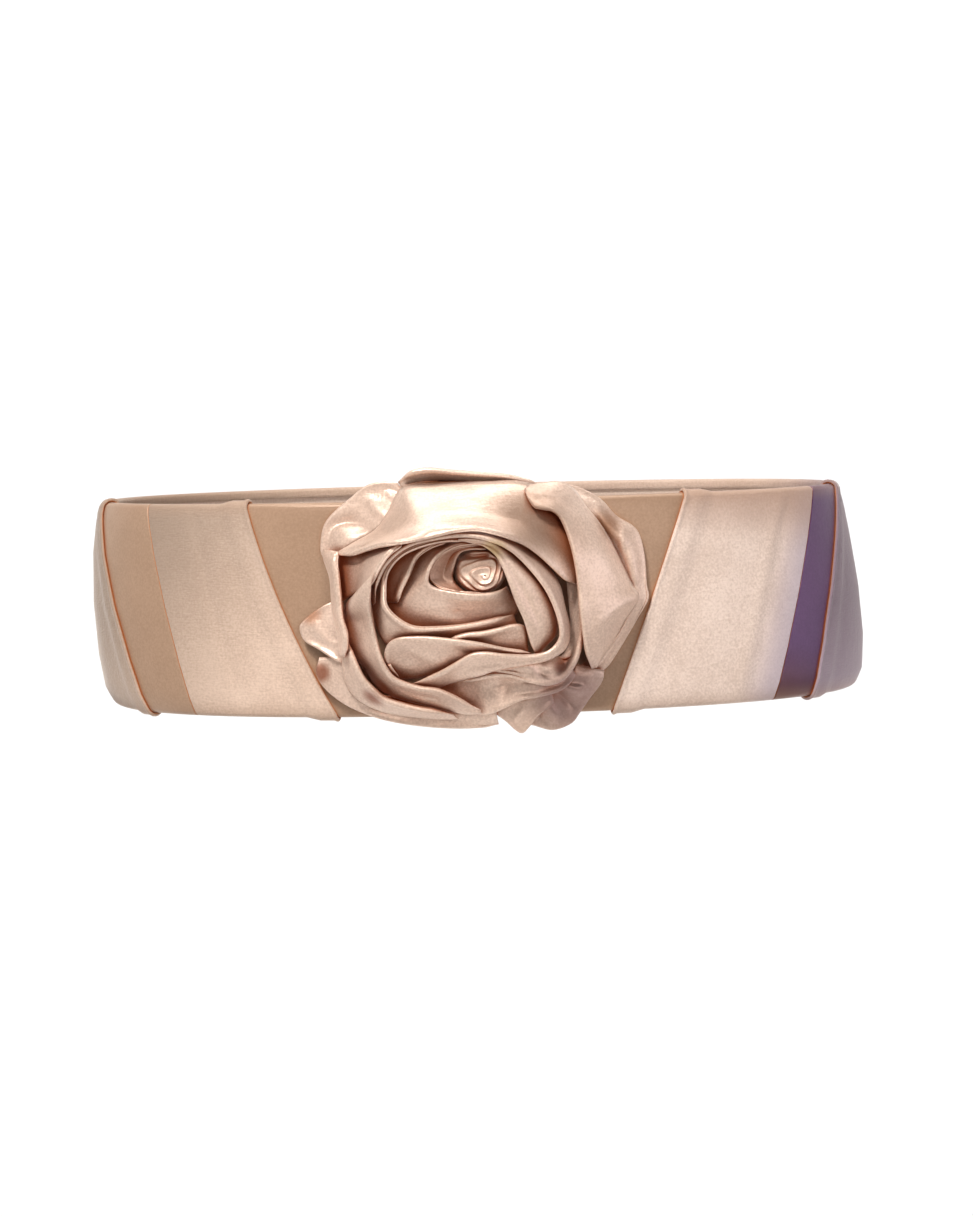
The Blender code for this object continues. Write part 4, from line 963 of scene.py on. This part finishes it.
def clearOfField(middle, half):
    for _ in range(5):
        _, under = petalSkins(middle, half, half[:, 0])
        fine = refine(under, 4)
        cells = fieldIndex(fine)
        lack = np.maximum(0, field[cells[..., 1], cells[..., 0]] + rose["gap"] - fine[..., 2])
        rows, columns = middle.shape[:2]
        lift = np.zeros((rows, columns))
        i = np.clip(np.round(np.linspace(0, rows - 1, lack.shape[0])).astype(int), 0, rows - 1)
        j = np.clip(np.round(np.linspace(-4, columns - 1, lack.shape[1])).astype(int), 0, columns - 1)
        np.maximum.at(lift, (i[:, None].repeat(len(j), 1), j[None, :].repeat(len(i), 0)), lack)
        if lift.max() < 0.02:
            break
        middle[..., 2] += widest(lift, (4, 2))


def makePetal(name, rows, seed):
    finish = {**plainPetal, **petalFinish.get(name, {})}
    curve = curveThrough(rows, rose["step"])
    shares = np.linspace(0, 1, rose["across"]) ** 1.25
    plan = curve[:, None, 0:2] * (1 - shares[None, :, None]) + curve[:, None, 3:5] * shares[None, :, None]
    high = curve[:, 2:3] + (curve[:, 5:6] - curve[:, 2:3]) * shares[None, :] ** finish["arch"]
    along = np.linspace(0, 1, len(curve))
    taper = np.minimum(1, np.minimum(along, 1 - along) / finish["point"] + 0.2)
    high = high + petalRelief(finish, along, shares, len(curve) * rose["step"], seed) * taper[:, None]
    middle = np.concatenate([plan, high[..., None]], 2)
    width = np.linalg.norm(np.diff(middle, axis=1), axis=2).sum(1).mean()
    distance = shares[None, :] * width
    flat = rose["thick"] / 2
    half = flat + (finish["rim"] * taper[:, None] - flat) * np.exp(-(distance / 1.5) ** 2)
    if finish["hem"]:
        half += (finish["hem"] * taper[:, None] - flat) * np.exp(-((width - distance - 0.5) / 1.2) ** 2)
    half *= np.where(shares > 0.97, 0.5, 1.0)[None, :]
    half *= np.minimum(1, taper + 0.2)[:, None]
    clearOfField(middle, half)
    top, under = petalSkins(middle, half, half[:, 0])
    spreadTop(top)
    words = name.split("_")
    label = words[0] + "".join(word.capitalize() for word in words[1:])
    addRoseSheet(label, top, under, name)


# One domed skin. Its rolled turns are ridges in its height, and not a rolled strip.
bud = {
    "radiusX": 8.4,
    "radiusZ": 7.6,
    "centre": (1.6, -1.5),
    "pitch": 2.6,
    "bulge": 1.0,
    "crown": 22.6,
    "dome": 1.2,
    "wall": 0.8,
    "lean": 1.3,
    "drop": 8.0,
    "slit": (-6.5, 4.9, 2.2, 5.6, -2.4, 0.8),
    "ruffle": 0.5,
    "rufflePitch": 7.5,
}


def makeBud():
    turns = np.radians(np.linspace(60, 420, 121))[:, None]
    shares = np.concatenate([np.linspace(0.03, 0.93, 38), [0.96, 0.99, 1.02, 1.05, 1.08, 1.11]])[None, :]
    radius = shares * (bud["radiusX"] + 0 * turns)
    corners = 1 + 0.13 * np.cos(3 * turns + 0.6) + 0.06 * np.cos(2 * turns + 2.0)
    corners = corners + 0.03 * np.cos(5 * turns)
    phase = radius * corners / bud["pitch"] - turns / (2 * math.pi)
    phase = phase - np.floor(phase)
    fold = np.where(phase < 0.72, phase / 0.72, (1 - phase) / 0.28) ** 0.8
    x = radius * np.cos(turns) + bud["centre"][0] * (1 - shares)
    z = radius * np.sin(turns) * bud["radiusZ"] / bud["radiusX"] + bud["centre"][1] * (1 - shares)
    high = bud["crown"] + bud["bulge"] * fold * np.minimum(1, shares * 2) - bud["dome"] * shares**2
    high = high + bud["lean"] * (x * 0.6 + z * 0.35) / bud["radiusX"]
    high = high + bud["ruffle"] * softNoise(x, z, bud["rufflePitch"], 41)
    startX, startZ, endX, endZ, deep, width = bud["slit"]
    held = np.clip((x - startX) / (endX - startX), 0, 1)
    away = np.hypot(x - startX - (endX - startX) * held, z - startZ - (endZ - startZ) * held)
    high = high + deep * np.exp(-(away / width) ** 2)
    high = high - bud["drop"] * np.clip((shares - 0.88) / 0.22, 0, 1) ** 1.8
    top = np.stack([x, z, high], 2)
    under = top - gridNormals(top) * bud["wall"]
    under[..., 2] = np.minimum(under[..., 2], top[..., 2] - 0.5)
    addRoseSheet("roseBud", top, under, "rose_bud")
    spreadTop(top)


startField()
for number, (name, rows) in enumerate(petals.items()):
    if name == "petal_eye_inner":
        makeBud()
    makePetal(name, rows, 100 + number)
print("rose made")


def makeStage():
    # A pale bowl, in metres: radius and height of its rings.
    profile = np.array([
        (0.0, -0.9), (1.6, -0.9), (2.4, -0.82), (3.0, -0.5), (3.4, 0.1), (3.6, 1.0), (3.7, 2.2)])
    marks = np.linspace(0, len(profile) - 1, 40)
    radius = np.interp(marks, range(len(profile)), profile[:, 0])
    high = np.interp(marks, range(len(profile)), profile[:, 1])
    turns = np.linspace(0, 2 * math.pi, 97)[:-1]
    places, faces = [], []
    for r, h in zip(radius, high):
        places += [(r * math.cos(t), r * math.sin(t), h) for t in turns]
    for i in range(len(radius) - 1):
        for j in range(96):
            faces.append((i * 96 + j, i * 96 + (j + 1) % 96, (i + 1) * 96 + (j + 1) % 96, (i + 1) * 96 + j))
    data = bpy.data.meshes.new("floor")
    data.from_pydata(places, [], faces)
    data.shade_smooth()
    floor = bpy.data.objects.new("floor", data)
    bpy.context.scene.collection.objects.link(floor)
    material, tree, shader = newMaterial("paleFloor", {"Base Color": (0.9, 0.9, 0.9, 1), "Roughness": 0.9})
    floor.data.materials.append(material)


def addLight(name, place, target, size, power, colour):
    lamp = bpy.data.lights.new(name, "AREA")
    lamp.shape = "RECTANGLE"
    lamp.size, lamp.size_y = size
    lamp.energy = power
    lamp.color = colour
    piece = bpy.data.objects.new(name, lamp)
    piece.location = place
    piece.rotation_euler = (Vector(target) - Vector(place)).to_track_quat("-Z", "Y").to_euler()
    bpy.context.scene.collection.objects.link(piece)


def makeLights():
    world = bpy.data.worlds.new("paleWorld")
    bpy.context.scene.world = world
    world.use_nodes = True
    background = world.node_tree.nodes["Background"]
    background.inputs["Color"].default_value = (1, 1, 1, 1)
    background.inputs["Strength"].default_value = 0.05
    addLight("key", (-0.5, -1.2, 1.3), (0, -0.1, 0), (0.3, 0.3), 26, (1.0, 0.985, 0.975))
    addLight("front", (0.3, -1.5, 0.25), (0, -0.1, 0), (0.2, 0.2), 3.2, (1.0, 0.96, 0.93))
    addLight("fill", (-1.6, -1.3, 0.3), (0, -0.1, 0), (1.0, 1.0), 2.0, (1.0, 0.95, 0.9))
    addLight("rightFill", (1.7, -0.4, 0.1), (0.1, 0, 0), (0.8, 0.8), 3.5, (0.92, 0.88, 1.0))
    addLight("backdrop", (0, 0.5, 2.2), (0, 3.4, -0.3), (2.6, 1.0), 75, (1, 1, 1))


def makeCamera():
    view = {"eye": (0.00335, -1.33, 0.0788), "aim": (0.00335, 0.0, -0.0065)}
    camera = bpy.data.cameras.new("camera")
    camera.sensor_fit = "AUTO"
    camera.sensor_width = 36.0
    camera.lens = 104.0
    camera.clip_start, camera.clip_end = 0.05, 30
    piece = bpy.data.objects.new("camera", camera)
    piece.location = view["eye"]
    ahead = Vector(view["aim"]) - Vector(view["eye"])
    piece.rotation_euler = ahead.to_track_quat("-Z", "Y").to_euler()
    bpy.context.scene.collection.objects.link(piece)
    bpy.context.scene.camera = piece
    bpy.context.scene.view_settings.view_transform = "Standard"
    bpy.context.scene.view_settings.look = "Medium High Contrast"


makeStage()
makeLights()
makeCamera()
print("stage, lights and camera made")
